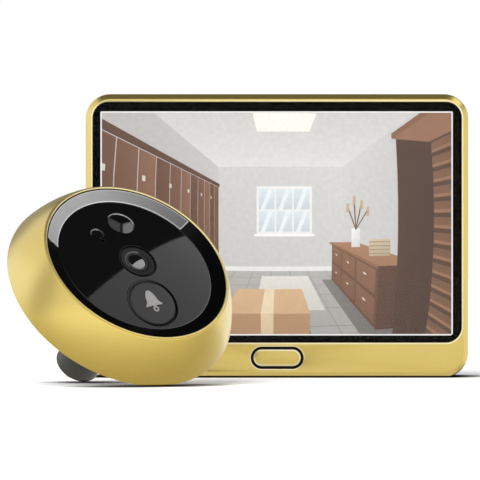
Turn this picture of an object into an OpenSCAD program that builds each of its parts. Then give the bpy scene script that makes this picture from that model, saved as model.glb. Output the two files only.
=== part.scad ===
// Peephole door camera: an indoor screen unit and a round outdoor camera unit.
// Lengths are in millimetres. The screen unit stands on z = 0, its base centred on the origin
// and its screen facing -Y. The camera unit leans beside it on its rim and its barrel's end.

/* [Screen case] */
// Width of the screen unit
case_w = 100; // [90:0.5:115]
// Height of the screen unit
case_h = 74; // [70:0.5:85]
// Depth of the screen unit, front to back
case_d = 22; // [21:0.2:28]
// Radius of the case's corners, seen from the front
case_corner_r = 6.4; // [5.4:0.1:7]
// Rounding of the front edge
front_edge_r = 1.4; // [0.6:0.1:1.7]
// Rounding of the back edge
back_edge_r = 2; // [0.6:0.1:2.2]
// Depth of the front frame, up to the joint with the rear housing
frame_d = 13.2; // [12.6:0.1:14]
// Thickness of the case's side walls
case_wall = 1.5; // [1.2:0.1:1.6]
// Thickness of the rear housing's back wall
back_wall = 1.8; // [1.2:0.1:2.4]
// Distance of the case screws from the two nearest sides
screw_inset = 6; // [5.6:0.1:6.4]

/* [Screen] */
// Width of the frame's border at the left and right of the glass
side_border = 1.75; // [1.7:0.05:2.6]
// Height of the frame's border above the glass
top_border = 2; // [1.7:0.05:2.8]
// Height of the chin below the glass
chin_h = 9; // [8.8:0.1:12]
// Radius of the glass corners
glass_corner_r = 4.2; // [3:0.1:5]
// Thickness of the cover glass
glass_t = 1.1; // [0.7:0.1:1.5]
// How far the glass sits behind the frame's front
glass_set = 0.2; // [0.1:0.05:0.4]
// Thickness of the adhesive tape behind the glass
tape_t = 0.3; // [0.2:0.05:0.5]
// Thickness of the ledge that carries the glass
ledge_t = 1.2; // [0.8:0.1:1.6]
// How far the ledge reaches in behind the glass edge
ledge_w = 1.5; // [1:0.1:1.9]
// Thickness of the display panel
panel_t = 1.4; // [1:0.1:1.8]
// Thickness of the backlight
backlight_t = 2.2; // [1.6:0.1:2.6]
// Thickness of the steel tray's back and sides
tray_t = 0.45; // [0.3:0.05:0.6]

/* [Home button] */
// Width of the button's cap
home_w = 12.3; // [10:0.1:16]
// Height of the button's cap
home_h = 4.3; // [3.4:0.1:4.6]
// Width of the black ring around the cap
home_ring_w = 0.6; // [0.4:0.05:0.8]
// Height of the button's centre above the base
home_z = 5.1; // [5:0.05:5.4]
// How far the button goes in
home_travel = 0.6; // [0.3:0.05:0.8]

/* [Electronics of the screen unit] */
// Space between the tray and the main board
board_gap = 2.1; // [1.9:0.1:2.4]
// Thickness of the circuit boards
board_t = 1.2; // [0.8:0.1:1.6]
// Height of the main board's upper edge above the base
board_top_z = 37; // [36.5:0.5:39]
// Distance of the main board's screws from the sides of its lower part
board_screw_inset = 5; // [4:0.5:6]
// Width of the battery
battery_w = 64; // [40:1:70]
// Height of the battery
battery_h = 27; // [16:0.5:28]
// Thickness of the battery
battery_t = 5.6; // [3:0.1:6]
// Radius of the loudspeaker
speaker_r = 7.5; // [5:0.1:7.7]
// Thickness of the loudspeaker
speaker_t = 3.8; // [2.5:0.1:4.5]

/* [Door bracket] */
// Width of the bracket plate
bracket_w = 50; // [46:1:54]
// Height of the bracket plate
bracket_h = 40; // [36:1:42]
// Thickness of the bracket plate
bracket_t = 2; // [1.5:0.1:2.4]
// Thickness of the adhesive pads on the bracket
pad_t = 0.5; // [0.3:0.1:1]
// Height of the bracket's centre above the base
bracket_z = 40; // [38:0.5:42]
// How far the bracket slides down before its hooks are free
bracket_travel = 8; // [6:0.5:9]
// Radius of the cable hole in the bracket
bracket_hole_r = 7; // [5:0.1:8]
// Radius of the bracket's two screw holes
bracket_screw_r = 2; // [1.5:0.1:2.5]
// Distance between the bracket's two screw holes
bracket_screw_gap = 28; // [24:0.5:30]
// Width of each hook
hook_w = 6; // [4:0.1:7]
// How far each hook reaches up behind the housing
hook_reach = 3; // [2:0.1:4]

/* [Camera case] */
// Radius of the camera unit's rim, against the door
rim_r = 30; // [29.4:0.1:33]
// Height of the lip above the door plane
lip_h = 11.7; // [11:0.1:14]
// Radius of the opening inside the lip
face_r = 23.8; // [23.6:0.1:24.6]
// Width of the lip's flat top
lip_w = 0.6; // [0.3:0.05:1]
// How far the domed side bulges from a straight line
dome_bulge = 0.55; // [0.2:0.05:0.9]
// Thickness of the back cover
cover_t = 1.6; // [1.2:0.1:2]
// Thickness of the door gasket
gasket_t = 0.8; // [0.4:0.1:1.4]
// Turn of the camera unit about the vertical, away from facing straight ahead
camera_yaw = 30.35; // [0:0.05:45]
// Place of the camera unit's back centre along X
camera_x = -39.6; // [-60:0.1:-30]
// Place of the camera unit's back centre along Y
camera_y = -67.1; // [-90:0.1:-60]

/* [Camera face] */
// Radius of the domed face plate
plate_r = 20.4; // [20.2:0.05:20.8]
// Depth of the face plate's edge below the lip
plate_drop = 1.43; // [1:0.01:1.8]
// Thickness of the face plate at its edge
plate_t = 1.5; // [1:0.1:1.8]
// How far the face plate's middle stands above its edge
plate_rise = 1.7; // [1.2:0.05:2.2]
// Angle where the light bar starts, measured from the face's right
bar_from = 34; // [20:1:60]
// Angle where the light bar ends
bar_to = 162; // [120:1:165]
// Radial width of the light bar
bar_w = 2.6; // [1.6:0.05:2.8]
// Thickness of the light bar
bar_t = 0.9; // [0.5:0.05:1]
// Radius of the ring around the lens
lens_ring_r = 4.95; // [4.6:0.05:5.1]
// Width of the groove along the lens ring's edge
lens_groove_w = 0.55; // [0.3:0.05:0.8]
// Depth of the groove along the lens ring's edge
lens_groove_d = 0.5; // [0.2:0.05:0.8]
// Radius of the front lens
lens_r = 2.3; // [1.6:0.05:2.4]
// How far the middle of the front lens lies below the face
lens_set = 0.15; // [0.05:0.05:0.4]
// Radius of the motion sensor's dome
pir_r = 3.6; // [2.8:0.1:4]
// How far the motion sensor's dome stands above the face
pir_h = 0.45; // [0.3:0.05:1]
// Place of the motion sensor above the face centre
pir_y = 12.6; // [11.5:0.1:13.5]
// Radius of the light sensor's window
window_r = 1.7; // [1:0.1:1.9]
// Place of the light window to the right of the face centre
window_x = -7.9; // [-9:0.1:-7]
// Place of the light window above the face centre
window_y = 9.2; // [9.1:0.1:10]
// Place of the microphone hole to the right of the face centre
mic_x = -7.1; // [-9:0.1:-6]
// Place of the microphone hole above the face centre
mic_y = 6.9; // [5:0.1:7]

/* [Bell button] */
// Radius of the bell button's cap
bell_r = 6.2; // [5:0.1:6.3]
// Depth of the black ring around the bell button below the face
bell_groove_d = 0.4; // [0.2:0.05:0.8]
// Place of the bell button below the face centre
bell_y = -12.7; // [-12.9:0.1:-12.5]
// How far the bell button goes in
bell_travel = 0.6; // [0.3:0.05:0.75]
// Height of the bell symbol
symbol_h = 7.3; // [4:0.1:8]
// How far the bell symbol stands above the cap
symbol_t = 0.2; // [0.1:0.05:0.3]
// Turn of the bell symbol to the left, as of a bell that swings
symbol_turn = 7; // [0:1:15]

/* [Barrel] */
// Radius of the barrel that goes through the door
barrel_r = 5.75; // [5:0.05:6.2]
// Length of the barrel behind the door plane
barrel_len = 29.1; // [20:0.1:60]
// Radius of the barrel's bore
barrel_bore_r = 4.3; // [3:0.05:4.6]
// Radius of the cable hole in the barrel's rubber grommet
cable_r = 2.4; // [1.5:0.1:2.6]

/* [Fits] */
// Gap between parts that are fixed together
fit = 0.08; // [0.04:0.01:0.12]
// Gap around a button in its guide
slide_gap = 0.1; // [0.06:0.01:0.15]
// Gap around the bracket and its hooks
hook_gap = 0.3; // [0.2:0.05:0.5]
// Gap left beyond the end of a travel
stop_gap = 0.1; // [0.05:0.01:0.2]

/* [Hidden] */
$fn = 64;

gold = "#d5bf74";
black = "#101010";
graphite = "#3a3a39";
steel = "#b8babd";
green = "#1f5a3a";

// Screw sizes, shared by every small screw
screw_r = 0.9;
screw_hole_r = screw_r + 0.05;
screw_head_r = 1.8;
screw_head_h = 1.1;
screw_pass_r = screw_r + 0.2;
head_pass_r = screw_head_r + 0.3;
hole_extra = 0.4;

// Depths of the screen unit, from front to back
front_y = -case_d / 2;
back_y = case_d / 2;
split_y = front_y + frame_d;
glass_y = front_y + glass_set;
tape_y = glass_y + glass_t;
ledge_y = tape_y + tape_t;
panel_y = ledge_y + ledge_t;
backlight_y = panel_y + panel_t;
tray_y = backlight_y + backlight_t;
battery_y = tray_y + tray_t;
board_y = battery_y + board_gap;
board_back_y = board_y + board_t;

// Inside of the case
in_w = case_w - 2 * case_wall;
in_h = case_h - 2 * case_wall;
in_r = case_corner_r - case_wall;
mid_z = case_h / 2;

// Glass opening
open_w = case_w - 2 * side_border;
open_h = case_h - chin_h - top_border;
open_z = chin_h + open_h / 2;

// Display stack, inside its tray
tray_gap = 0.2;
tray_w = in_w - 2 * tray_gap;
tray_bottom = chin_h + tray_gap;
tray_h = case_h - case_wall - tray_gap - tray_bottom;
tray_z = tray_bottom + tray_h / 2;
tray_r = in_r - tray_gap;
stack_inset = tray_t + fit;

// Case screws
screw_x = case_w / 2 - screw_inset;
screw_zs = [screw_inset, case_h - screw_inset];
boss_r = 2.6;
boss_y = battery_y + 0.3;
post_r = 3.2;
post_floor = 2.5;
case_screw_len = 4;

// Main board
board_side_gap = 1.9;
board_bottom = case_wall + 1.1;
board_neck_z = screw_inset + boss_r + 3.4;
board_w = in_w - 2 * board_side_gap;
board_neck_w = 2 * (screw_x - boss_r - 2.4);
board_screw_x = board_neck_w / 2 - board_screw_inset;
board_screw_zs = [board_bottom + 3.4, board_top_z - 4];
board_post_r = 2.4;

// Steel shield over the processor, on the back of the main board
shield_x = -8;
shield_z = 23;
shield_w = 24;
shield_h = 22;
shield_t = 2.2;

// Home button
collar_w = home_w + 2 * home_ring_w;
collar_h = home_h + 2 * home_ring_w;
collar_set = 0.1;
home_set = 0.05;
home_stop_y = panel_y + stop_gap;
home_flange_w = collar_w + 1;
home_flange_h = collar_h + 0.6;
home_flange_t = 0.8;
home_stem_w = 3;
home_switch_w = 6;
home_switch_h = 3.5;
home_switch_t = 1.5;
home_switch_y = board_y - home_switch_t;
home_stem_y = home_switch_y - home_travel - stop_gap;

// Ports in the sides of the case
usb_z = 18;
usb_w = 7.6;
usb_t = 2.6;
usb_len = 8;
card_z = 22;
card_w = 12;
card_t = 1.6;
card_len = 12.5;
port_margin = 0.3;

// Bracket, in its recess in the rear housing
bracket_y = back_y - pad_t - bracket_t;
recess_y = bracket_y - stop_gap;
recess_wall = 1.6;
recess_in_y = recess_y - recess_wall;
recess_w = bracket_w + 4 * hook_gap;
recess_bottom = bracket_z - bracket_h / 2 - bracket_travel - 3 * hook_gap;
recess_top = bracket_z + bracket_h / 2 + 2 * hook_gap;
bracket_corner_r = 3;
hook_x = 18;
hook_zs = [bracket_z - 6, bracket_z + 14];
hook_neck = 2;
hook_t = 1.5;
window_drop = hook_neck + bracket_travel + 3 * hook_gap;

// Camera ribbon socket and its window in the recess
socket_x = 17;
socket_w = 14;
socket_h = 4.6;
socket_z = recess_bottom + 1.2 + socket_h / 2;
socket_t = 5.2;
socket_margin = 0.6;
socket_wall = 1;
socket_slot_h = 1.2;

// Loudspeaker
speaker_x = case_w / 2 - case_wall - 9.2;
speaker_z = 50;
speaker_mesh_t = 0.2;
speaker_cup_r = speaker_r + 1.1;
speaker_back_y = back_y - back_wall - speaker_mesh_t;
grille_hole_r = 0.7;
grille_pitch = 2.2;

// Heights in the camera unit, above the door plane
plate_z = lip_h - plate_drop;
plate_back_z = plate_z - plate_t;
ring_r = face_r - fit;
ring_top_z = lip_h - 0.15;
seat_z = plate_back_z + 0.23;
ring_back_z = plate_back_z - 0.77;
cavity_r = face_r - 1.5;
ring_skirt_r = cavity_r - fit;
ring_seat_r = plate_r - 0.55;
lip_outer_r = face_r + lip_w;
cover_r = rim_r - 2.6;
camera_board_z = 4.3;
camera_board_top = camera_board_z + board_t;
camera_board_r = cavity_r - 0.5;
camera_screw_ring_r = 17;
camera_screw_angles = [0, 130, 230];
back_screw_ring_r = (cavity_r + cover_r) / 2;
back_screw_angles = [30, 150, 270];
back_screw_len = 5;
back_head_h = 0.8;

// The face is part of a large ball, through the plate's edge and its raised middle
face_ball_r = (plate_r * plate_r + plate_rise * plate_rise) / (2 * plate_rise);
face_top_z = plate_z + plate_rise;
face_centre = [0, 0, face_top_z - face_ball_r];
face_ball_fn = 240;

// Slope of the black ring, and the light bar on it
slope = (ring_top_z - plate_z) / (ring_r - plate_r);
bar_r = plate_r + 0.2;
led_r = bar_r + 0.4;
led_count = 6;
led_w = 1.6;
led_d = 0.8;
led_h = 0.8;

// Lens
lens_flange_r = lens_ring_r + 0.3;
lens_flange_t = 0.3;
lens_flange_z = plate_back_z - lens_flange_t;
lens_barrel_r = lens_r + 0.5;
lens_barrel_z = camera_board_top + 1.4;
lens_dome_h = 0.35;
lens_edge_z = face_top_z - lens_set - lens_dome_h;
lens_seat_z = lens_edge_z - 0.5;
lens_barrel_top = lens_edge_z + 0.1;
holder_w = 2 * lens_barrel_r + 2.8;
holder_top = lens_flange_z - 0.2;
sensor_w = 5.6;
sensor_t = 0.8;

// Bell button
bell_collar_r = bell_r + 0.55;
bell_flange_r = bell_collar_r + 0.25;
bell_flange_t = 0.6;
bell_switch_w = 6;
bell_switch_t = 1;
bell_stem_r = 1.5;
bell_stop_z = plate_back_z - bell_flange_t - stop_gap;
bell_stem_z = camera_board_top + bell_switch_t + bell_travel + stop_gap;

// Flat ribbon from the display's lower edge to the main board
ribbon_x = [-30, -14];
ribbon_y = panel_y + 0.3;
ribbon_t = 0.15;
ribbon_rise = 6;
ribbon_low = tray_bottom - 0.7;

// Flange of the motion sensor's dome, behind the face plate
pir_flange_r = pir_r + 0.8;
pir_flange_t = 0.55;

// Depth that the board screws reach into the back cover's posts
camera_screw_bite = camera_board_z - cover_t - 0.4;

// Barrel's neck in the back cover, and its flange behind it
barrel_neck_r = barrel_r + 0.5;
barrel_flange_r = barrel_r + 2.2;
barrel_flange_t = 1.2;
grommet_len = 3;

// The camera unit leans so far that its rim and its barrel's end both touch z = 0
lean = atan((rim_r - barrel_r) / barrel_len);

// Shared shapes

// Rounded rectangle, centred
module rounded_rect(w, h, r) {
    square([w - 2 * r, h], center = true);
    square([w, h - 2 * r], center = true);
    for (sx = [-1, 1], sy = [-1, 1])
        translate([sx * (w / 2 - r), sy * (h / 2 - r)])
            circle(r);
}

// Upright slab with rounded corners, from y0 to y1, centred on x = 0 and height z
module slab(w, h, r, y0, y1, z) {
    translate([0, y1, z])
        rotate([90, 0, 0])
            linear_extrude(y1 - y0)
                rounded_rect(w, h, r);
}

// Upright bar with round ends, from y0 to y1, centred on x = 0 and height z
module pill(w, h, y0, y1, z) {
    translate([0, y1, z])
        rotate([90, 0, 0])
            linear_extrude(y1 - y0) {
                square([w - h, h], center = true);
                for (sx = [-1, 1])
                    translate([sx * (w - h) / 2, 0])
                        circle(h / 2);
            }
}

// Upright picture frame, between an outer slab and one that is smaller by rim
module slab_ring(w, h, r, rim, y0, y1, z) {
    difference() {
        slab(w, h, r, y0, y1, z);
        slab(w - 2 * rim, h - 2 * rim, max(r - rim, 0.2), y0 - 1, y1 + 1, z);
    }
}

// Box given by its low and high corners
module block(low, high) {
    translate(low)
        cube(high - low);
}

// Round bar along Y
module rod_y(x, z, r, y0, y1) {
    translate([x, y1, z])
        rotate([90, 0, 0])
            cylinder(h = y1 - y0, r = r);
}

// Round bar along the camera's axis
module rod_z(x, y, r, z0, z1) {
    translate([x, y, z0])
        cylinder(h = z1 - z0, r = r);
}

// Section of the case's edge, from the corner's centre line out: x is outward, y is towards the front
module case_section(y_round, y_flat, e) {
    flat = -y_flat;
    inset = y_flat > y_round ? -y_round - e : -y_round + e;
    front = -y_round;
    translate([0, min(flat, inset)])
        square([case_corner_r, abs(flat - inset)]);
    translate([0, min(inset, front)])
        square([case_corner_r - e, e]);
    translate([case_corner_r - e, inset])
        circle(e);
}

// Case shell's outer form: rounded at y_round with radius e, square at y_flat
module case_form(y_round, y_flat, e) {
    core_w = case_w - 2 * case_corner_r;
    core_h = case_h - 2 * case_corner_r;
    translate([0, 0, mid_z])
        rotate([90, 0, 0]) {
            translate([-core_w / 2, -core_h / 2, -max(y_round, y_flat)])
                cube([core_w, core_h, abs(y_flat - y_round)]);
            for (side = [[0, core_h / 2, core_w], [90, core_w / 2, core_h]], half_turn = [0, 180])
                rotate(side[0] + half_turn)
                    translate([0, side[1], 0])
                        rotate([90, 0, 90])
                            linear_extrude(side[2], center = true)
                                case_section(y_round, y_flat, e);
            for (corner = [[1, 1, 0], [-1, 1, 90], [-1, -1, 180], [1, -1, 270]])
                translate([corner[0] * core_w / 2, corner[1] * core_h / 2, 0])
                    rotate(corner[2])
                        rotate_extrude(angle = 90)
                            case_section(y_round, y_flat, e);
        }
}

// Places its children at the four case screws
module at_case_screws() {
    for (sx = [-1, 1], z = screw_zs)
        translate([sx * screw_x, 0, z])
            children();
}

// Places its children at the four main board screws
module at_board_screws() {
    for (sx = [-1, 1], z = board_screw_zs)
        translate([sx * board_screw_x, 0, z])
            children();
}

// Space taken by the sockets' mouths in the case's side walls
module side_ports(margin) {
    block(
        [case_w / 2 - case_wall - 1, board_back_y - margin, usb_z - usb_w / 2 - margin],
        [case_w / 2 + 1, board_back_y + usb_t + margin, usb_z + usb_w / 2 + margin]
    );
    block(
        [-case_w / 2 - 1, board_back_y - margin, card_z - card_w / 2 - margin],
        [-case_w / 2 + case_wall + 1, board_back_y + card_t + margin, card_z + card_w / 2 + margin]
    );
}

// Screen unit, front to back

module front_frame() {
    color(gold)
        difference() {
            union() {
                difference() {
                    case_form(front_y, split_y, front_edge_r);
                    slab(in_w, in_h, in_r, panel_y, split_y + 1, mid_z);
                }
                frame_bosses();
            }
            slab(open_w, open_h, glass_corner_r, front_y - 1, ledge_y, open_z);
            slab(
                open_w - 2 * ledge_w, open_h - 2 * ledge_w, glass_corner_r - ledge_w,
                front_y, panel_y + 1, open_z
            );
            pill(collar_w + 2 * fit, collar_h + 2 * fit, front_y - 1, panel_y + 1, home_z);
            at_case_screws()
                rod_y(0, 0, screw_hole_r, split_y - case_screw_len - hole_extra, split_y + 1);
            side_ports(port_margin);
        }
}

// Screw bosses of the front frame, each tied to two walls by ribs
module frame_bosses() {
    rib = 1.4;
    wall_mid = case_wall / 2;
    for (sx = [-1, 1], sz = [-1, 1])
        translate([sx * screw_x, 0, mid_z + sz * (mid_z - screw_inset)]) {
            reach_x = sx * (screw_inset - wall_mid);
            reach_z = sz * (screw_inset - wall_mid);
            rod_y(0, 0, boss_r, boss_y, split_y);
            block(
                [min(0, reach_x), boss_y, -rib / 2],
                [max(0, reach_x), split_y, rib / 2]
            );
            block(
                [-rib / 2, boss_y, min(0, reach_z)],
                [rib / 2, split_y, max(0, reach_z)]
            );
        }
}

module cover_glass() {
    color("#0a0a0a")
        slab(open_w - 2 * fit, open_h - 2 * fit, glass_corner_r - fit, glass_y, tape_y, open_z);
}

module glass_tape() {
    color("#202020")
        slab_ring(open_w - 2 * fit, open_h - 2 * fit, glass_corner_r - fit, ledge_w, tape_y, ledge_y, open_z);
}

// A layer of the display stack, inside the tray's sides
module display_layer(y0, y1) {
    slab(tray_w - 2 * stack_inset, tray_h - 2 * stack_inset, tray_r - stack_inset, y0, y1, tray_z);
}

module lcd_panel() {
    color("#9aa0a4")
        display_layer(panel_y, backlight_y);
}

module backlight() {
    color("#e8e8e4")
        display_layer(backlight_y, tray_y);
}

module lcd_tray() {
    color(steel)
        difference() {
            slab(tray_w, tray_h, tray_r, panel_y, battery_y, tray_z);
            slab(
                tray_w - 2 * tray_t, tray_h - 2 * tray_t, tray_r - tray_t,
                panel_y - 1, tray_y, tray_z
            );
            ribbon_gate(port_margin);
        }
}

// Slot in the tray's lower side that the ribbon goes through
module ribbon_gate(margin) {
    block(
        [ribbon_x[0] - margin, ribbon_y - margin, tray_bottom - 1],
        [ribbon_x[1] + margin, ribbon_y + ribbon_t + margin, tray_bottom + stack_inset - fit / 2]
    );
}

module display_ribbon() {
    color("#b8782a") {
        block(
            [ribbon_x[0], ribbon_y, ribbon_low],
            [ribbon_x[1], ribbon_y + ribbon_t, tray_bottom + stack_inset]
        );
        block([ribbon_x[0], ribbon_y, ribbon_low], [ribbon_x[1], board_y, ribbon_low + ribbon_t]);
        block(
            [ribbon_x[0], board_y - ribbon_t, ribbon_low],
            [ribbon_x[1], board_y, tray_bottom + ribbon_rise]
        );
    }
}

module button_collar() {
    color(black)
        difference() {
            pill(collar_w, collar_h, front_y + collar_set, panel_y, home_z);
            pill(home_w + 2 * slide_gap, home_h + 2 * slide_gap, front_y - 1, panel_y + 1, home_z);
        }
}

module home_button() {
    color(gold) {
        pill(home_w, home_h, front_y + home_set, home_stop_y + home_flange_t, home_z);
        pill(home_flange_w, home_flange_h, home_stop_y, home_stop_y + home_flange_t, home_z);
        block(
            [-home_stem_w / 2, home_stop_y, home_z - home_stem_w / 2],
            [home_stem_w / 2, home_stem_y, home_z + home_stem_w / 2]
        );
    }
}

module home_switch() {
    color("#262626")
        block(
            [-home_switch_w / 2, home_switch_y, home_z - home_switch_h / 2],
            [home_switch_w / 2, board_y, home_z + home_switch_h / 2]
        );
}

module main_board() {
    color(green)
        difference() {
            union() {
                block(
                    [-board_neck_w / 2, board_y, board_bottom],
                    [board_neck_w / 2, board_back_y, board_top_z]
                );
                block([-board_w / 2, board_y, board_neck_z], [board_w / 2, board_back_y, board_top_z]);
            }
            at_board_screws()
                rod_y(0, 0, screw_pass_r, board_y - 1, board_back_y + 1);
        }
}

module processor_shield() {
    color(steel)
        block(
            [shield_x - shield_w / 2, board_back_y, shield_z - shield_h / 2],
            [shield_x + shield_w / 2, board_back_y + shield_t, shield_z + shield_h / 2]
        );
}

module camera_socket() {
    slot_w = socket_w - 2 * socket_wall;
    color("#d9d4c6")
        difference() {
            block(
                [socket_x - socket_w / 2, board_back_y, socket_z - socket_h / 2],
                [socket_x + socket_w / 2, board_back_y + socket_t, socket_z + socket_h / 2]
            );
            block(
                [socket_x - slot_w / 2, board_back_y + socket_wall, socket_z - socket_slot_h / 2],
                [socket_x + slot_w / 2, board_back_y + socket_t + 1, socket_z + socket_slot_h / 2]
            );
        }
}

module usb_port() {
    mouth_x = case_w / 2 - 0.3;
    shell = 0.3;
    tongue = 0.7;
    color(steel) {
        difference() {
            block(
                [mouth_x - usb_len, board_back_y, usb_z - usb_w / 2],
                [mouth_x, board_back_y + usb_t, usb_z + usb_w / 2]
            );
            block(
                [mouth_x - usb_len + 1, board_back_y + shell, usb_z - usb_w / 2 + shell],
                [mouth_x + 1, board_back_y + usb_t - shell, usb_z + usb_w / 2 - shell]
            );
        }
        block(
            [mouth_x - usb_len + 0.5, board_back_y + (usb_t - tongue) / 2, usb_z - usb_w / 2 + 1.2],
            [mouth_x - 1, board_back_y + (usb_t + tongue) / 2, usb_z + usb_w / 2 - 1.2]
        );
    }
}

module card_slot() {
    mouth_x = -case_w / 2 + 0.3;
    shell = 0.3;
    color(steel)
        difference() {
            block(
                [mouth_x, board_back_y, card_z - card_w / 2],
                [mouth_x + card_len, board_back_y + card_t, card_z + card_w / 2]
            );
            block(
                [mouth_x - 1, board_back_y + shell, card_z - card_w / 2 + shell],
                [mouth_x + card_len - 1, board_back_y + card_t - shell, card_z + card_w / 2 - shell]
            );
        }
}

module board_screws() {
    color(steel)
        at_board_screws() {
            rod_y(0, 0, screw_head_r, board_y - screw_head_h, board_y);
            rod_y(0, 0, screw_r, board_y - screw_head_h / 2, board_back_y + case_screw_len);
        }
}

module battery() {
    corner_r = 1.2;
    battery_low = board_top_z + 2.5;
    color("#c9ccd0")
        slab(battery_w, battery_h, corner_r, battery_y, battery_y + battery_t, battery_low + battery_h / 2);
}

module speaker() {
    rim_w = 1;
    dish = 0.6;
    color("#2c2c2c")
        difference() {
            rod_y(speaker_x, speaker_z, speaker_r, speaker_back_y - speaker_t, speaker_back_y);
            rod_y(speaker_x, speaker_z, speaker_r - rim_w, speaker_back_y - dish, speaker_back_y + 1);
        }
}

module speaker_mesh() {
    color("#181818")
        rod_y(speaker_x, speaker_z, speaker_r, speaker_back_y, speaker_back_y + speaker_mesh_t);
}

module rear_housing() {
    gate_w = socket_w + 2 * socket_margin;
    gate_h = socket_h + 2 * socket_margin;
    color("#1b1b1b")
        difference() {
            union() {
                difference() {
                    case_form(back_y, split_y, back_edge_r);
                    slab(in_w, in_h, in_r, split_y - 1, back_y - back_wall, mid_z);
                }
                block(
                    [-recess_w / 2 - recess_wall, recess_in_y, recess_bottom - recess_wall],
                    [recess_w / 2 + recess_wall, back_y - back_wall / 2, recess_top + recess_wall]
                );
                at_case_screws()
                    rod_y(0, 0, post_r, split_y, back_y - back_wall / 2);
                at_board_screws()
                    rod_y(0, 0, board_post_r, board_back_y, back_y - back_wall / 2);
                rod_y(
                    speaker_x, speaker_z, speaker_cup_r,
                    speaker_back_y - speaker_t / 2, back_y - back_wall / 2
                );
            }
            block([-recess_w / 2, recess_y, recess_bottom], [recess_w / 2, back_y + 1, recess_top]);
            hook_windows();
            block(
                [socket_x - gate_w / 2, recess_in_y - 1, socket_z - gate_h / 2],
                [socket_x + gate_w / 2, recess_y + 1, socket_z + gate_h / 2]
            );
            at_case_screws() {
                rod_y(0, 0, head_pass_r, split_y + post_floor, back_y + 1);
                rod_y(0, 0, screw_pass_r, split_y - 1, back_y);
            }
            at_board_screws()
                rod_y(0, 0, screw_hole_r, board_back_y - 1, board_back_y + case_screw_len + hole_extra);
            rod_y(speaker_x, speaker_z, speaker_r + fit, split_y, back_y - back_wall);
            speaker_grille();
            side_ports(port_margin);
        }
}

// Rings of round holes behind the loudspeaker
module speaker_grille() {
    for (ring = [0:2])
        for (i = [0:max(6 * ring - 1, 0)])
            let (turn = ring == 0 ? 0 : i * 60 / ring)
                rod_y(
                    speaker_x + ring * grille_pitch * cos(turn), speaker_z + ring * grille_pitch * sin(turn),
                    grille_hole_r, speaker_back_y, back_y + 1
                );
}

// Windows in the recess that the bracket's hooks go through
module hook_windows() {
    for (sx = [-1, 1], z = hook_zs)
        block(
            [sx * hook_x - hook_w / 2 - hook_gap, recess_in_y - 1, z - window_drop],
            [sx * hook_x + hook_w / 2 + hook_gap, recess_y + 1, z]
        );
}

module housing_screws() {
    color("#3c3c3c")
        at_case_screws() {
            rod_y(0, 0, screw_head_r, split_y + post_floor, split_y + post_floor + screw_head_h);
            rod_y(0, 0, screw_r, split_y - case_screw_len, split_y + post_floor + screw_head_h / 2);
        }
}

module door_bracket() {
    color(steel)
        difference() {
            union() {
                slab(bracket_w, bracket_h, bracket_corner_r, bracket_y, bracket_y + bracket_t, bracket_z);
                bracket_hooks();
            }
            rod_y(0, bracket_z, bracket_hole_r, bracket_y - 1, bracket_y + bracket_t + 1);
            for (sz = [-1, 1])
                rod_y(
                    0, bracket_z + sz * bracket_screw_gap / 2, bracket_screw_r,
                    bracket_y - 1, bracket_y + bracket_t + 1
                );
        }
}

// Four hooks that reach through the housing and up behind it
module bracket_hooks() {
    hook_front = recess_in_y - hook_gap - hook_t;
    for (sx = [-1, 1], z = hook_zs)
        translate([sx * hook_x, 0, z - hook_gap]) {
            block([-hook_w / 2, hook_front, -hook_neck], [hook_w / 2, bracket_y + bracket_t / 2, 0]);
            block([-hook_w / 2, hook_front, -hook_neck], [hook_w / 2, hook_front + hook_t, hook_reach]);
        }
}

module bracket_pads() {
    pad_w = 10;
    pad_edge = 1.5;
    pad_corner_r = 1.5;
    color("#262626")
        for (sx = [-1, 1])
            translate([sx * (bracket_w / 2 - pad_edge - pad_w / 2), 0, 0])
                slab(
                    pad_w, bracket_h - 4 * pad_edge, pad_corner_r,
                    bracket_y + bracket_t, bracket_y + bracket_t + pad_t, bracket_z
                );
}

// Camera unit, in its own frame: the door plane is z = 0, the face looks along +Z and Y is its up

// Leans the camera unit on its rim and its barrel's end
module place_camera() {
    translate([camera_x, camera_y, rim_r * cos(lean)])
        rotate([90 - lean, 0, camera_yaw])
            children();
}

// Height of the black ring's slope at a radius
function slope_z(r) = plate_z + slope * (r - plate_r);

// Height of the domed face at a radius
function face_z(r) = face_centre[2] + sqrt(face_ball_r * face_ball_r - r * r);

// Direction in which the domed face looks above [x, y]
function face_dir(x, y) = ([x, y, face_z(norm([x, y]))] - face_centre) / face_ball_r;

// Radius of a ball whose cap has the radius r and the rise h
function cap_ball_r(r, h) = (r * r + h * h) / (2 * h);

// The face's ball, grown or shrunk by a layer
module face_ball(layer) {
    translate(face_centre)
        sphere(face_ball_r + layer, $fn = face_ball_fn);
}

// Keeps what lies below the domed face, or below a layer on it
module under_face(layer = 0) {
    intersection() {
        children();
        face_ball(layer);
    }
}

// Point on the domed side, from the rim at t = 0 to the lip at t = 1
function dome_point(t) =
    let (
        run = [lip_outer_r - rim_r, lip_h],
        out = [run[1], -run[0]] / norm(run)
    )
    [rim_r, 0] + t * run + 4 * dome_bulge * t * (1 - t) * out;

// Places its children around the camera's axis
module around_axis(ring_r, angles) {
    for (angle = angles)
        rotate(angle)
            translate([ring_r, 0, 0])
                children();
}

module camera_bezel() {
    dome_steps = 16;
    side = [for (i = [0:dome_steps]) dome_point(i / dome_steps)];
    inside = [
        [face_r, lip_h], [face_r, seat_z], [cavity_r, seat_z], [cavity_r, cover_t],
        [cover_r + fit, cover_t], [cover_r + fit, 0]
    ];
    color(gold)
        place_camera()
            difference() {
                rotate_extrude()
                    polygon(concat(side, inside));
                around_axis(back_screw_ring_r, back_screw_angles)
                    rod_z(0, 0, screw_hole_r, cover_t - 1, back_head_h + back_screw_len + hole_extra);
            }
}

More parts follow.
